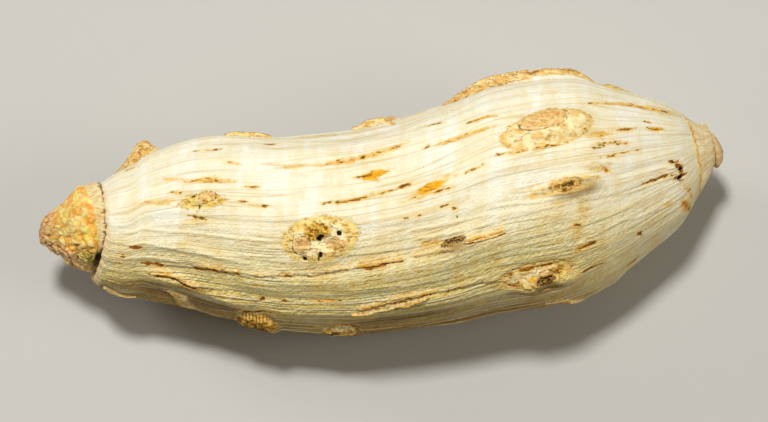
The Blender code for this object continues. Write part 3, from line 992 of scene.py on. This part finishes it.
class Nodes:
    """Short calls that add the nodes of one material."""

    def __init__(self, name):
        self.material = bpy.data.materials.new(name)
        self.material.use_nodes = True
        self.tree = self.material.node_tree
        self.shader = self.tree.nodes["Principled BSDF"]

    def put(self, socket, value):
        if isinstance(value, bpy.types.NodeSocket):
            self.tree.links.new(value, socket)
        else:
            socket.default_value = value

    def new(self, kind, inputs=()):
        """A node of that kind, and what goes into its inputs, by their names or numbers."""
        node = self.tree.nodes.new(f"ShaderNode{kind}")
        for key, value in dict(inputs).items():
            self.put(node.inputs[key], value)
        return node

    def attribute(self, name, output="Fac"):
        node = self.new("Attribute")
        node.attribute_name = name
        return node.outputs[output]

    def maths(self, operation, *values):
        node = self.new("Math", enumerate(values))
        node.operation = operation
        return node.outputs[0]

    def add(self, *values):
        total = values[0]
        for value in values[1:]:
            total = self.maths("ADD", total, value)
        return total

    def times(self, *values):
        total = values[0]
        for value in values[1:]:
            total = self.maths("MULTIPLY", total, value)
        return total

    def scaled(self, value, gain, start):
        """From start up, by gain times the value."""
        return self.add(self.times(value, gain), start)

    def weighted(self, value, *noises):
        """The value with each noise added to it at its own weight."""
        for noise_value, weight in noises:
            value = self.add(value, self.times(noise_value, weight))
        return value

    def step(self, value, low, high):
        """From 0 to 1 as the value goes from low to high, with soft ends."""
        start, end = (0.0, 1.0) if low < high else (1.0, 0.0)
        limits = {"From Min": min(low, high), "From Max": max(low, high), "To Min": start, "To Max": end}
        node = self.new("MapRange", {"Value": value, **limits})
        node.interpolation_type = "SMOOTHSTEP"
        return node.outputs["Result"]

    def mark(self, kind, low, high, *noises):
        """Where a kind of mark shows, with its edge broken up by noises."""
        return self.step(self.weighted(self.attribute(kind), *noises), low, high)

    def stretched(self, vector, along, across):
        node = self.new("VectorMath", enumerate((vector, (along, across, across))))
        node.operation = "MULTIPLY"
        return node.outputs[0]

    def slanted(self, vector, along, across):
        """The vector turned so that what is long in it runs aslant over the near side."""
        turn = (0.0, math.radians(-23), math.radians(31))
        sizes = (1 / along, 1 / across, 1 / across)
        node = self.tree.nodes.new("ShaderNodeMapping")
        node.vector_type = "TEXTURE"
        for key, value in (("Vector", vector), ("Rotation", turn), ("Scale", sizes)):
            self.put(node.inputs[key], value)
        return node.outputs["Vector"]

    def noise(self, vector, detail=2.0, roughness=0.5, scale=1.0):
        inputs = {"Vector": vector, "Scale": scale, "Detail": detail, "Roughness": roughness}
        return self.new("TexNoise", inputs).outputs["Fac"]

    def drawn(self, vector, along, across, detail, roughness=0.5):
        """Noise that is drawn out along the fibres."""
        return self.noise(self.stretched(vector, along, across), detail, roughness)

    def around_zero(self, value):
        return self.add(value, -0.5)

    def zero_line(self, noise, half_width):
        """One on the thin lines where the noise crosses its middle value."""
        return self.step(self.maths("ABSOLUTE", self.around_zero(noise)), half_width, 0.0)

    def parts(self, vector):
        return self.new("SeparateXYZ", {0: vector}).outputs

    def cells(self, vector, scale):
        """The distance to the nearest cell's middle, and that cell's own number."""
        node = self.new("TexVoronoi", {"Vector": vector, "Scale": scale})
        split = self.new("SeparateColor", {0: node.outputs["Color"]})
        return node.outputs["Distance"], split.outputs[0]

    def mix(self, share, first, second, blend="MIX"):
        node = self.tree.nodes.new("ShaderNodeMix")
        node.data_type = "RGBA"
        node.blend_type = blend
        for key, value in (("Factor", share), (6, first), (7, second)):
            self.put(node.inputs[key], value)
        return node.outputs[2]

    def tint(self, share, first, second):
        return self.mix(share, first, second, "MULTIPLY")

    def lay(self, base, shade, value, low, high, *shares):
        """The shade laid over the base as the value goes from low to high."""
        return self.mix(self.times(self.step(value, low, high), *shares), base, shade)

    def ramp(self, value, *stops):
        node = self.new("ValToRGB", {"Fac": value})
        ramp = node.color_ramp
        while len(ramp.elements) < len(stops):
            ramp.elements.new(0.5)
        for element, (place, shade) in zip(ramp.elements, stops):
            element.position = place
            element.color = shade
        return node.outputs["Color"]

    def bump(self, height, distance):
        return self.new("Bump", {"Distance": distance, "Height": height}).outputs["Normal"]

    def finish(self, base, roughness, normal):
        for name, value in (("Base Color", base), ("Roughness", roughness), ("Normal", normal)):
            self.put(self.shader.inputs[name], value)
        return self.material


WHITE = colour(255, 254, 242)
CREAM = colour(252, 246, 220)
CREST_PAINTED_HIGHLIGHT = colour(255, 248, 214)
WARM = colour(248, 231, 184)
STRAW = colour(210, 176, 86)
SHADE_TINT = colour(238, 221, 140)
UNDERSIDE_PAINTED_SHADE = colour(172, 142, 62)
GREY_GREEN = colour(196, 190, 138)
LOW_OCHRE = colour(230, 184, 76)
CREASE_PAINTED_SHADE = colour(136, 100, 30)
OCHRE = colour(238, 168, 26)
DEEP_OCHRE = colour(196, 116, 8)
PALE_OCHRE = colour(246, 212, 128)
UMBER = colour(122, 74, 10)
BLACK = colour(22, 10, 2)
TAN = colour(236, 188, 104)
TAN_DARK = colour(178, 118, 36)
SCALE_CREAM = colour(255, 240, 190)
SCALE_YELLOW = colour(238, 196, 72)
SCALE_BROWN = colour(190, 132, 40)
PLATE = colour(222, 166, 88)
PLATE_LIGHT = colour(248, 216, 150)
CORE_GOLD = colour(252, 204, 84)
CORE_BROWN = colour(206, 140, 34)
CORE_GAP = colour(112, 66, 6)
LOW_BAND = colour(232, 196, 112)
PUCKER_PAINTED_GLINT = colour(252, 240, 198)
STAIN_LIGHT = colour(244, 220, 150)
STAIN_DARK = colour(220, 178, 88)
FOLD_PAINTED_SHADE = colour(158, 124, 58)
SCALE_RIM = colour(252, 226, 140)
TAN_LIGHT = colour(250, 222, 160)
FLESH_LIGHT = colour(255, 242, 190)
FLESH = colour(246, 204, 126)
COMB_DARK = colour(172, 100, 10)
COMB_LIGHT = colour(255, 208, 98)
RING_BROWN = colour(140, 92, 22)
PALE_SPOT = colour(255, 228, 158)
AMBER = colour(252, 184, 14)
AMBER_DARK = colour(206, 130, 14)
PIT_DARK = colour(76, 48, 8)
PIT_LIGHT = colour(178, 138, 62)
TORN_PALE = colour(248, 222, 170)
SKIN_ROUGHNESS, SKIN_SPECULAR = 0.36, 0.3


def crease_lines(n, fibre, lower):
    """The painted highlights on the creases' crests and the painted shade at their feet, and their relief,
    fine ones too.
    """
    _, across, up = n.parts(fibre)
    turn = n.times(n.maths("ARCTAN2", up, across), 1 / (2 * math.pi))
    clear = n.attribute("clear")
    fine_shift = n.times(n.drawn(fibre, 0.10, 0.40, 1.0), 3.0)
    fine_strength = n.times(n.step(n.drawn(fibre, 0.14, 1.1, 1.0), 0.48, 0.60), lower)
    coarse, medium = (crease.count for crease in CREASES)
    medium_strength = n.times(n.attribute("strength_1"), n.scaled(lower, 0.75, 0.25))
    kinds = (
        (coarse, n.attribute("shift_0"), n.attribute("strength_0")),
        (medium, n.attribute("shift_1"), medium_strength),
        (FINE_CREASES, fine_shift, fine_strength),
    )
    crest, foot, relief = 0.0, 0.0, 0.0
    for count, shift, strength in kinds:
        share = n.maths("FRACT", n.add(n.times(turn, count), shift))
        shown = n.times(strength, clear)
        edge = min(0.30, CREASE_EDGE * count / (2 * math.pi * FIBRE_RADIUS))
        top = 1 - 1.2 * edge
        at_foot = n.maths("MAXIMUM", n.step(share, 1 - 0.5 * edge, 1.0), n.step(share, 0.5 * edge, 0.0))
        at_crest = n.times(n.step(share, 1 - 2.2 * edge, top), n.step(share, 1 - 0.6 * edge, top))
        crest = n.maths("MAXIMUM", crest, n.times(at_crest, shown))
        foot = n.maths("MAXIMUM", foot, n.times(at_foot, shown))
        rise = n.times(n.step(share, 0.0, top), n.step(share, 1.0, 1 - edge))
        relief = n.add(relief, n.times(rise, shown, 3.2 / count ** 0.5))
    return crest, foot, relief


def skin_base(n, fibre, place):
    """The skin between its marks: cream, with thin lines, warm patches, pale bands, and painted shade and
    highlights.
    """
    lower = n.attribute("lower")
    patch = n.drawn(fibre, 0.30, 0.34, 3.0, 0.6)
    mottle = n.drawn(fibre, 0.8, 1.3, 3.0, 0.65)
    band = n.drawn(fibre, 1.05, 0.22, 2.0)
    lines = n.drawn(fibre, 0.10, 2.2, 3.0, 0.65)
    fine = n.drawn(fibre, 0.25, 6.5, 3.0, 0.65)
    wide_line = n.zero_line(n.drawn(fibre, 0.045, 1.15, 1.0), 0.030)
    thin_line = n.zero_line(n.drawn(fibre, 0.09, 2.6, 1.0), 0.045)
    broad = n.drawn(fibre, 0.5, 0.8, 2.0, 0.6)
    shown = n.times(n.step(broad, 0.38, 0.56), n.scaled(lower, 0.8, 0.25))
    pucker = n.noise(n.slanted(place, 2.3, 5.0), 1.5, 0.55)
    base = n.lay(CREAM, WARM, patch, 0.47, 0.66, 0.45)
    base = n.lay(base, WHITE, band, 0.50, 0.63, 0.7)
    base = n.lay(base, WARM, band, 0.47, 0.36, 0.35)
    # Painted shade: the lower side tinted darker and more olive, with grey-green mottle laid there.
    base = n.tint(lower, base, SHADE_TINT)
    base = n.lay(base, LOW_OCHRE, mottle, 0.52, 0.64, n.scaled(lower, 0.5, 0.12))
    base = n.lay(base, GREY_GREEN, mottle, 0.47, 0.36, lower, 0.6)
    base = n.lay(base, LOW_BAND, band, 0.46, 0.36, lower, 0.45)
    base = n.lay(base, STRAW, lines, 0.54, 0.74, n.scaled(lower, 0.25, 0.25))
    base = n.lay(base, STRAW, fine, 0.56, 0.74, n.scaled(lower, 0.2, 0.2))
    # Painted shade in the puckers' hollows and painted glints on their tops, strongest on the lower side.
    base = n.lay(base, STRAW, pucker, 0.47, 0.33, n.scaled(lower, 0.4, 0.05))
    base = n.lay(base, PUCKER_PAINTED_GLINT, pucker, 0.56, 0.70, lower, 0.65)
    base = n.mix(n.times(wide_line, 0.45), base, STRAW)
    # Painted shade: the underside tinted darker still.
    base = n.tint(n.attribute("deep"), base, UNDERSIDE_PAINTED_SHADE)
    crest, foot, relief = crease_lines(n, fibre, lower)
    # Painted shade at the creases' feet and painted highlight on their crests.
    foot = n.step(n.add(foot, n.around_zero(fine)), 0.35, 0.85)
    base = n.mix(n.times(foot, n.scaled(lower, 0.45, 0.12)), base, CREASE_PAINTED_SHADE)
    base = n.mix(n.times(crest, n.scaled(lower, 0.55, 0.15)), base, CREST_PAINTED_HIGHLIGHT)
    height = n.add(
        n.times(relief, n.scaled(lower, 0.9, 0.25)),
        n.times(pucker, n.scaled(lower, 2.1, 0.4)),
        n.times(lines, 0.4),
        n.times(fine, n.scaled(lower, 0.5, 0.4)),
        n.times(wide_line, shown, 0.70),
        n.times(thin_line, shown, 0.45),
    )
    return base, height


def skin_material():
    n = Nodes("dried_skin_detail")
    fibre, place = n.attribute("fibre", "Vector"), n.attribute("place", "Vector")
    base, height = skin_base(n, fibre, place)
    g = skin_grains(n, fibre, place)
    base = fold_lines_and_stains(n, g, base)
    base, scaly = scaly_skin(n, g, base)
    base, tan = root_bases(n, g, base, place)
    base, core = scar_middles(n, g, base, n.parts(fibre)[0], place)
    base, ochre = streaks_and_blotches(n, g, base)
    base, umber = cracks_and_holes(n, g, base)
    corky = n.maths("MAXIMUM", scaly, n.maths("MAXIMUM", tan, core))
    height = n.add(
        n.times(height, n.scaled(corky, -0.6, 1.0)),
        n.times(n.scaled(g.gap, -1.0, 1.0), core, 1.2),
        n.times(g.edges, corky, -0.5),
        n.times(g.fine, 0.6),
        n.times(umber, -0.7),
        n.times(ochre, n.add(g.split, -0.2)),
    )
    uneven = n.noise(fibre, 2.0, 0.6, 1.5)
    roughness = n.weighted(
        SKIN_ROUGHNESS, (n.attribute("deep"), 0.3), (corky, 0.2), (ochre, 0.2), (uneven, 0.12)
    )
    n.shader.inputs["Specular IOR Level"].default_value = SKIN_SPECULAR
    return n.finish(base, roughness, n.bump(height, 0.00010))


Grains = namedtuple("Grains", "split broken rough flecks patchy edges pores fine gap own")


def skin_grains(n, fibre, place):
    """The noises that break up the edges and the colours of the marks."""
    flecks = n.drawn(place, 1.6, 4.4, 2.0, 0.6)
    layer_lines = n.zero_line(n.drawn(place, 0.9, 1.7, 1.0), 0.022)
    gap, own = n.cells(place, 5.0)
    return Grains(
        split=n.around_zero(n.drawn(fibre, 0.8, 5.0, 3.0, 0.7)),
        broken=n.around_zero(n.drawn(fibre, 1.8, 2.4, 2.0, 0.6)),
        rough=n.around_zero(n.noise(place, 3.0, 0.65, 3.0)),
        flecks=flecks,
        patchy=n.noise(place, 3.0, 0.6, 1.5),
        edges=n.times(layer_lines, n.step(flecks, 0.44, 0.54)),
        pores=n.step(n.noise(place, 1.0, 0.5, 5.5), 0.66, 0.72),
        fine=n.noise(place, 2.0, 0.6, 8.0),
        gap=gap,
        own=own,
    )


def fold_lines_and_stains(n, g, base):
    """The painted highlight on a fold's lip, the soft tan stains, and painted shadow below a fold and in
    shade areas.
    """
    # Painted highlight on the folds' lips.
    lip = n.mark("lip", -0.02, 0.05, (g.split, 0.10))
    base = n.mix(n.times(lip, 0.75), base, CREST_PAINTED_HIGHLIGHT)
    stain = n.mark("stain", -0.15, 0.35, (g.split, 0.9), (g.broken, 0.9))
    tone = n.lay(STAIN_LIGHT, STAIN_DARK, g.flecks, 0.40, 0.60)
    base = n.mix(n.times(stain, 0.75), base, tone)
    # Painted shadow below the folds and over the shade areas.
    shade = n.mark("shade", -0.22, 0.20, (g.broken, 0.3))
    return n.tint(n.times(shade, 0.75), base, FOLD_PAINTED_SHADE)


def scaly_skin(n, g, base):
    """The broken papery skin round the scars, yellow at its rim."""
    scaly = n.mark("scaly", -0.12, 0.16, (g.rough, 0.6), (g.split, 0.3))
    at_rim = n.mark("scaly", 0.85, 0.15, (g.broken, 1.4))
    rim_tone = n.lay(SCALE_YELLOW, SCALE_RIM, g.patchy, 0.44, 0.58)
    tone = n.mix(n.times(at_rim, 0.9), SCALE_CREAM, rim_tone)
    tone = n.lay(tone, SCALE_BROWN, g.flecks, 0.52, 0.66, 0.75)
    tone = n.mix(n.times(g.edges, n.scaled(at_rim, 0.35, 0.5)), tone, SCALE_BROWN)
    tone = n.mix(n.times(g.pores, 0.7), tone, UMBER)
    return n.mix(scaly, base, tone), scaly


def root_bases(n, g, base, place):
    """Corky tan, smooth pale flesh, and the smooth stump of a root."""
    tan = n.mark("tan", -0.03, 0.08, (g.rough, 0.5))
    tone = n.lay(TAN, TAN_LIGHT, g.patchy, 0.46, 0.60)
    tone = n.lay(tone, TAN_DARK, g.flecks, 0.52, 0.64, 0.6)
    tone = n.mix(n.times(g.edges, 0.7), tone, TAN_DARK)
    base = n.mix(tan, base, n.mix(g.pores, tone, UMBER))

    bare = n.mark("bare", -0.08, 0.20, (g.rough, 0.5))
    tone = n.lay(FLESH_LIGHT, FLESH, g.patchy, 0.44, 0.60)
    tone = n.lay(tone, SCALE_BROWN, g.flecks, 0.54, 0.66, 0.5)
    base = n.mix(bare, base, n.mix(n.times(g.edges, 0.7), tone, SCALE_BROWN))

    plate = n.mark("plate", -0.03, 0.06, (g.rough, 0.45))
    tone = n.lay(PLATE_LIGHT, PLATE, n.drawn(place, 2.6, 5.0, 3.0, 0.7), 0.42, 0.60)
    return n.mix(plate, base, n.mix(n.times(g.edges, 0.4), tone, TAN_DARK)), tan


def scar_middles(n, g, base, along, place):
    """The row of teeth, the gold grains of a core, the dark outlines and the pale spots."""
    comb = n.mark("comb", -0.02, 0.06, (g.rough, 0.2))
    teeth = n.maths("COSINE", n.weighted(n.times(along, 2 * math.pi / COMB_PITCH), (g.rough, 5.0)))
    base = n.mix(n.times(comb, 0.85), base, n.lay(COMB_DARK, COMB_LIGHT, teeth, -1.0, 0.2))

    core = n.mark("core", -0.06, 0.10, (g.rough, 0.35))
    tone = n.lay(CORE_BROWN, CORE_GOLD, g.own, 0.20, 0.70)
    base = n.mix(core, base, n.lay(tone, CORE_GAP, g.gap, 0.52, 0.74, 0.8))

    dots = n.step(n.noise(place, 1.0, 0.5, 4.6), 0.42, 0.52)
    ring = n.mark("ring", 0.45, 0.75, (g.rough, 1.2))
    base = n.mix(n.times(ring, n.scaled(dots, 0.7, 0.2)), base, RING_BROWN)
    return n.mix(n.mark("pale", -0.06, 0.10, (g.rough, 0.4)), base, PALE_SPOT), core


def streaks_and_blotches(n, g, base):
    """Ochre streaks and amber blotches, each with a paler halo."""
    depth = n.weighted(n.attribute("ochre"), (g.split, 0.60), (g.broken, 0.55))
    ochre = n.step(depth, -0.06, 0.08)
    base = n.lay(base, PALE_OCHRE, depth, -0.22, 0.02, 0.5)
    tone = n.lay(OCHRE, PALE_OCHRE, g.split, -0.10, 0.06)
    tone = n.lay(tone, DEEP_OCHRE, n.weighted(g.flecks, (g.split, 0.6)), 0.58, 0.68)
    base = n.mix(ochre, base, tone)

    depth = n.weighted(n.attribute("amber"), (g.split, 0.35), (g.rough, 0.35))
    base = n.lay(base, PALE_OCHRE, depth, -0.16, 0.04, 0.5)
    tone = n.lay(AMBER, AMBER_DARK, n.weighted(g.flecks, (g.split, 0.4)), 0.48, 0.66)
    return n.lay(base, tone, depth, -0.04, 0.08), ochre


def cracks_and_holes(n, g, base):
    """Brown pits, the umber of streaks and cracks, black holes with painted shade in them, and the pale torn
    edge.
    """
    dark = n.mark("dark", -0.02, 0.06, (g.rough, 0.35), (g.split, 0.2))
    base = n.mix(dark, base, n.lay(PIT_DARK, PIT_LIGHT, n.weighted(g.fine, (g.split, 0.5)), 0.48, 0.60))
    umber = n.mark("umber", -0.02, 0.06, (g.split, 0.35), (g.broken, 0.50))
    base = n.mix(umber, base, n.lay(UMBER, DEEP_OCHRE, g.flecks, 0.42, 0.60))
    # Black in the holes: painted shade in their depths, and the dark specks' own colour.
    base = n.mix(n.mark("hole", -0.03, 0.03, (g.rough, 0.30)), base, BLACK)
    rim = n.mark("edge", 0.46, 0.20, (g.split, 0.3))
    return n.mix(n.times(rim, 0.6), base, TORN_PALE), umber


def tip_material():
    n = Nodes("starchy_flesh_detail")
    fibre = n.attribute("fibre", "Vector")
    own, crevice = n.attribute("own"), n.attribute("crevice")
    blur = n.noise(fibre, 3.0, 0.6, 2.4)
    grain = n.noise(fibre, 2.0, 0.6, 6.0)
    loose = n.times(n.around_zero(blur), 1.2)
    amber, glint_highlight, pink = (n.mark(kind, -0.1, 0.3, (loose, 1.0)) for kind in TIP_AREAS)
    base = n.ramp(
        own,
        (0.00, colour(244, 148, 12)),
        (0.25, colour(254, 186, 36)),
        (0.50, colour(255, 224, 88)),
        (0.75, colour(255, 246, 164)),
        (0.95, colour(255, 206, 128)),
    )
    tone = n.lay(colour(236, 150, 8), colour(255, 210, 50), own, 0.2, 0.8)
    base = n.mix(n.times(amber, 0.8), base, tone)
    # Painted highlight in the middle of the tip.
    base = n.mix(n.times(glint_highlight, 0.7), base, colour(255, 246, 164))
    tone = n.lay(colour(246, 166, 82), colour(255, 214, 150), blur, 0.42, 0.58)
    base = n.mix(n.times(pink, 0.9), base, tone)
    base = n.lay(base, colour(255, 244, 186), grain, 0.50, 0.64, 0.5)
    base = n.lay(base, colour(240, 158, 24), grain, 0.46, 0.34, 0.4)
    # Painted highlight on the grains' tops.
    base = n.lay(base, colour(255, 240, 140), crevice, 0.20, 0.46, 0.35)
    # Between the grains: the flesh's amber and painted shade, darkest in the deepest crevices.
    tone = n.mix(pink, colour(246, 164, 22), colour(212, 116, 34))
    base = n.lay(base, tone, crevice, 0.26, 0.0, n.scaled(blur, 1.2, -0.05))
    deepest = n.weighted(crevice, (loose, 0.5), (pink, -0.08))
    base = n.lay(base, colour(122, 50, 2), deepest, -0.04, -0.12)
    base, collar = tip_collar(n, fibre, grain, loose, base)
    # Dark line under the torn skin's edge: the crack's own colour and painted shade.
    base = n.mix(n.times(n.mark("crack", -0.10, 0.0, (loose, 0.9)), 0.8), base, colour(120, 70, 24))
    # Painted shadow in the gap below the lump.
    base = n.mix(n.attribute("gap"), base, colour(60, 30, 8))
    return n.finish(base, n.scaled(collar, 0.30, 0.20), n.bump(grain, 0.00010))


def tip_collar(n, fibre, grain, loose, base):
    """The smooth collar next to the torn skin, and the greenish lump on it."""
    stripes = n.drawn(fibre, 1.4, 2.4, 3.0, 0.6)
    collar = n.mark("collar", -0.05, 0.10, (loose, 0.35))
    tone = n.lay(colour(254, 236, 180), colour(236, 194, 116), stripes, 0.42, 0.62)
    base = n.mix(collar, base, n.lay(tone, colour(190, 132, 56), stripes, 0.66, 0.74))
    tone = n.lay(colour(150, 122, 24), colour(248, 230, 116), stripes, 0.45, 0.55)
    tone = n.lay(tone, colour(104, 76, 14), grain, 0.46, 0.38)
    base = n.mix(n.mark("lump", -0.02, 0.06), base, tone)
    from_outline = n.maths("ABSOLUTE", n.weighted(n.attribute("lump"), (loose, 0.3)))
    return n.lay(base, colour(96, 60, 14), from_outline, 0.08, 0.02, 0.8), collar


def bud_material():
    n = Nodes("bud_detail")
    fibre, along = n.attribute("fibre", "Vector"), n.attribute("along")
    stripes = n.drawn(fibre, 0.8, 3.0, 3.0, 0.6)
    cross = n.drawn(fibre, 5.0, 0.9, 3.0, 0.6)
    blur = n.noise(fibre, 3.0, 0.6, 1.3)
    loose = n.around_zero(blur)
    base = n.lay(colour(250, 236, 192), colour(234, 204, 146), blur, 0.40, 0.60)
    base = n.lay(base, colour(214, 176, 104), stripes, 0.52, 0.66, 0.4)
    base = n.lay(base, colour(206, 160, 92), cross, 0.56, 0.68, 0.3)
    rim_tone = n.lay(colour(222, 160, 40), colour(254, 222, 124), cross, 0.42, 0.58)
    base = n.mix(n.mark("rim", 0.02, 0.08, (loose, 0.20)), base, rim_tone)
    from_line = n.maths("ABSOLUTE", n.add(n.weighted(along, (loose, 0.1)), -DARK_LINE_X))
    base = n.lay(base, colour(96, 56, 16), from_line, 0.08, 0.02, 0.8)
    base = n.lay(base, colour(226, 178, 110), along, 24.05, 24.20, 0.5)
    base = n.lay(base, colour(160, 104, 40), along, 24.62, 24.90, 0.7)
    height = n.add(stripes, cross, n.noise(fibre, 2.0, 0.6, 6.0))
    return n.finish(base, 0.5, n.bump(height, 0.00006))


def flake_material():
    n = Nodes("flake_detail")
    grain = n.drawn(n.attribute("place", "Vector"), 1.5, 4.0, 3.0, 0.6)
    base = n.lay(colour(255, 228, 158), colour(238, 188, 100), grain, 0.42, 0.58)
    edge = n.mark("free", 0.75, 1.0, (n.around_zero(grain), 0.6))
    base = n.mix(n.times(edge, 0.5), base, colour(196, 136, 50))
    return n.finish(base, 0.5, n.bump(grain, 0.00005))


def plain_material(name, shade, roughness):
    n = Nodes(name)
    n.shader.inputs["Base Color"].default_value = shade
    n.shader.inputs["Roughness"].default_value = roughness
    return n.material


def make_floor():
    mesh = bpy.data.meshes.new("floor")
    half = 1.2
    corners = [(-half, -half, 0), (half, -half, 0), (half, half, 0), (-half, half, 0)]
    mesh.from_pydata(corners, [], [(0, 1, 2, 3)])
    mesh.materials.append(plain_material("pale_floor", (0.56, 0.56, 0.55, 1.0), 0.9))
    in_scene("floor", mesh)


def make_light(name, direction, distance, size, energy, shade):
    light = bpy.data.lights.new(name, "AREA")
    light.shape = "DISK"
    light.size = size
    light.energy = energy
    light.color = shade
    lamp = in_scene(name, light)
    towards = Vector(direction).normalized()
    lamp.location = towards * distance
    lamp.rotation_euler = towards.to_track_quat("Z", "Y").to_euler()


def make_studio():
    make_floor()
    make_light("key", (-0.12, 0.18, 1.0), 0.60, 0.10, 2.72, (1.0, 0.985, 0.935))
    make_light("fill", (1.0, -0.25, 0.80), 0.80, 0.40, 1.45, (1.0, 0.94, 0.80))
    make_light("side", (-1.0, 0.55, 0.6), 0.80, 0.24, 1.40, (1.0, 0.97, 0.90))
    world = bpy.data.worlds.new("studio")
    world.use_nodes = True
    background = world.node_tree.nodes["Background"]
    background.inputs["Color"].default_value = (1.0, 0.94, 0.82, 1.0)
    background.inputs["Strength"].default_value = 0.11
    bpy.context.scene.world = world
    bpy.context.scene.view_settings.view_transform = "Standard"


def make_camera():
    lens = bpy.data.cameras.new("camera")
    lens.lens, lens.sensor_width = LENS, SENSOR
    lens.clip_start = 0.01
    camera = in_scene("camera", lens)
    camera.location = Vector(EYE) * MM
    camera.rotation_euler = (math.pi / 2 - ELEVATION, 0, 0)
    bpy.context.scene.camera = camera


def main():
    make_camera()
    view = View()
    pieces = [
        (make_skin(view), skin_material()),
        (make_tip(view), tip_material()),
        (make_bud(view), bud_material()),
    ]
    thin = flake_material()
    pieces += [(make_flake(f"flake_{i + 1}", view, flake), thin) for i, flake in enumerate(FLAKES)]
    for piece, material in pieces:
        piece.data.materials.append(material)
        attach(piece, "root")
        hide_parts("tuber")
    make_studio()


main()
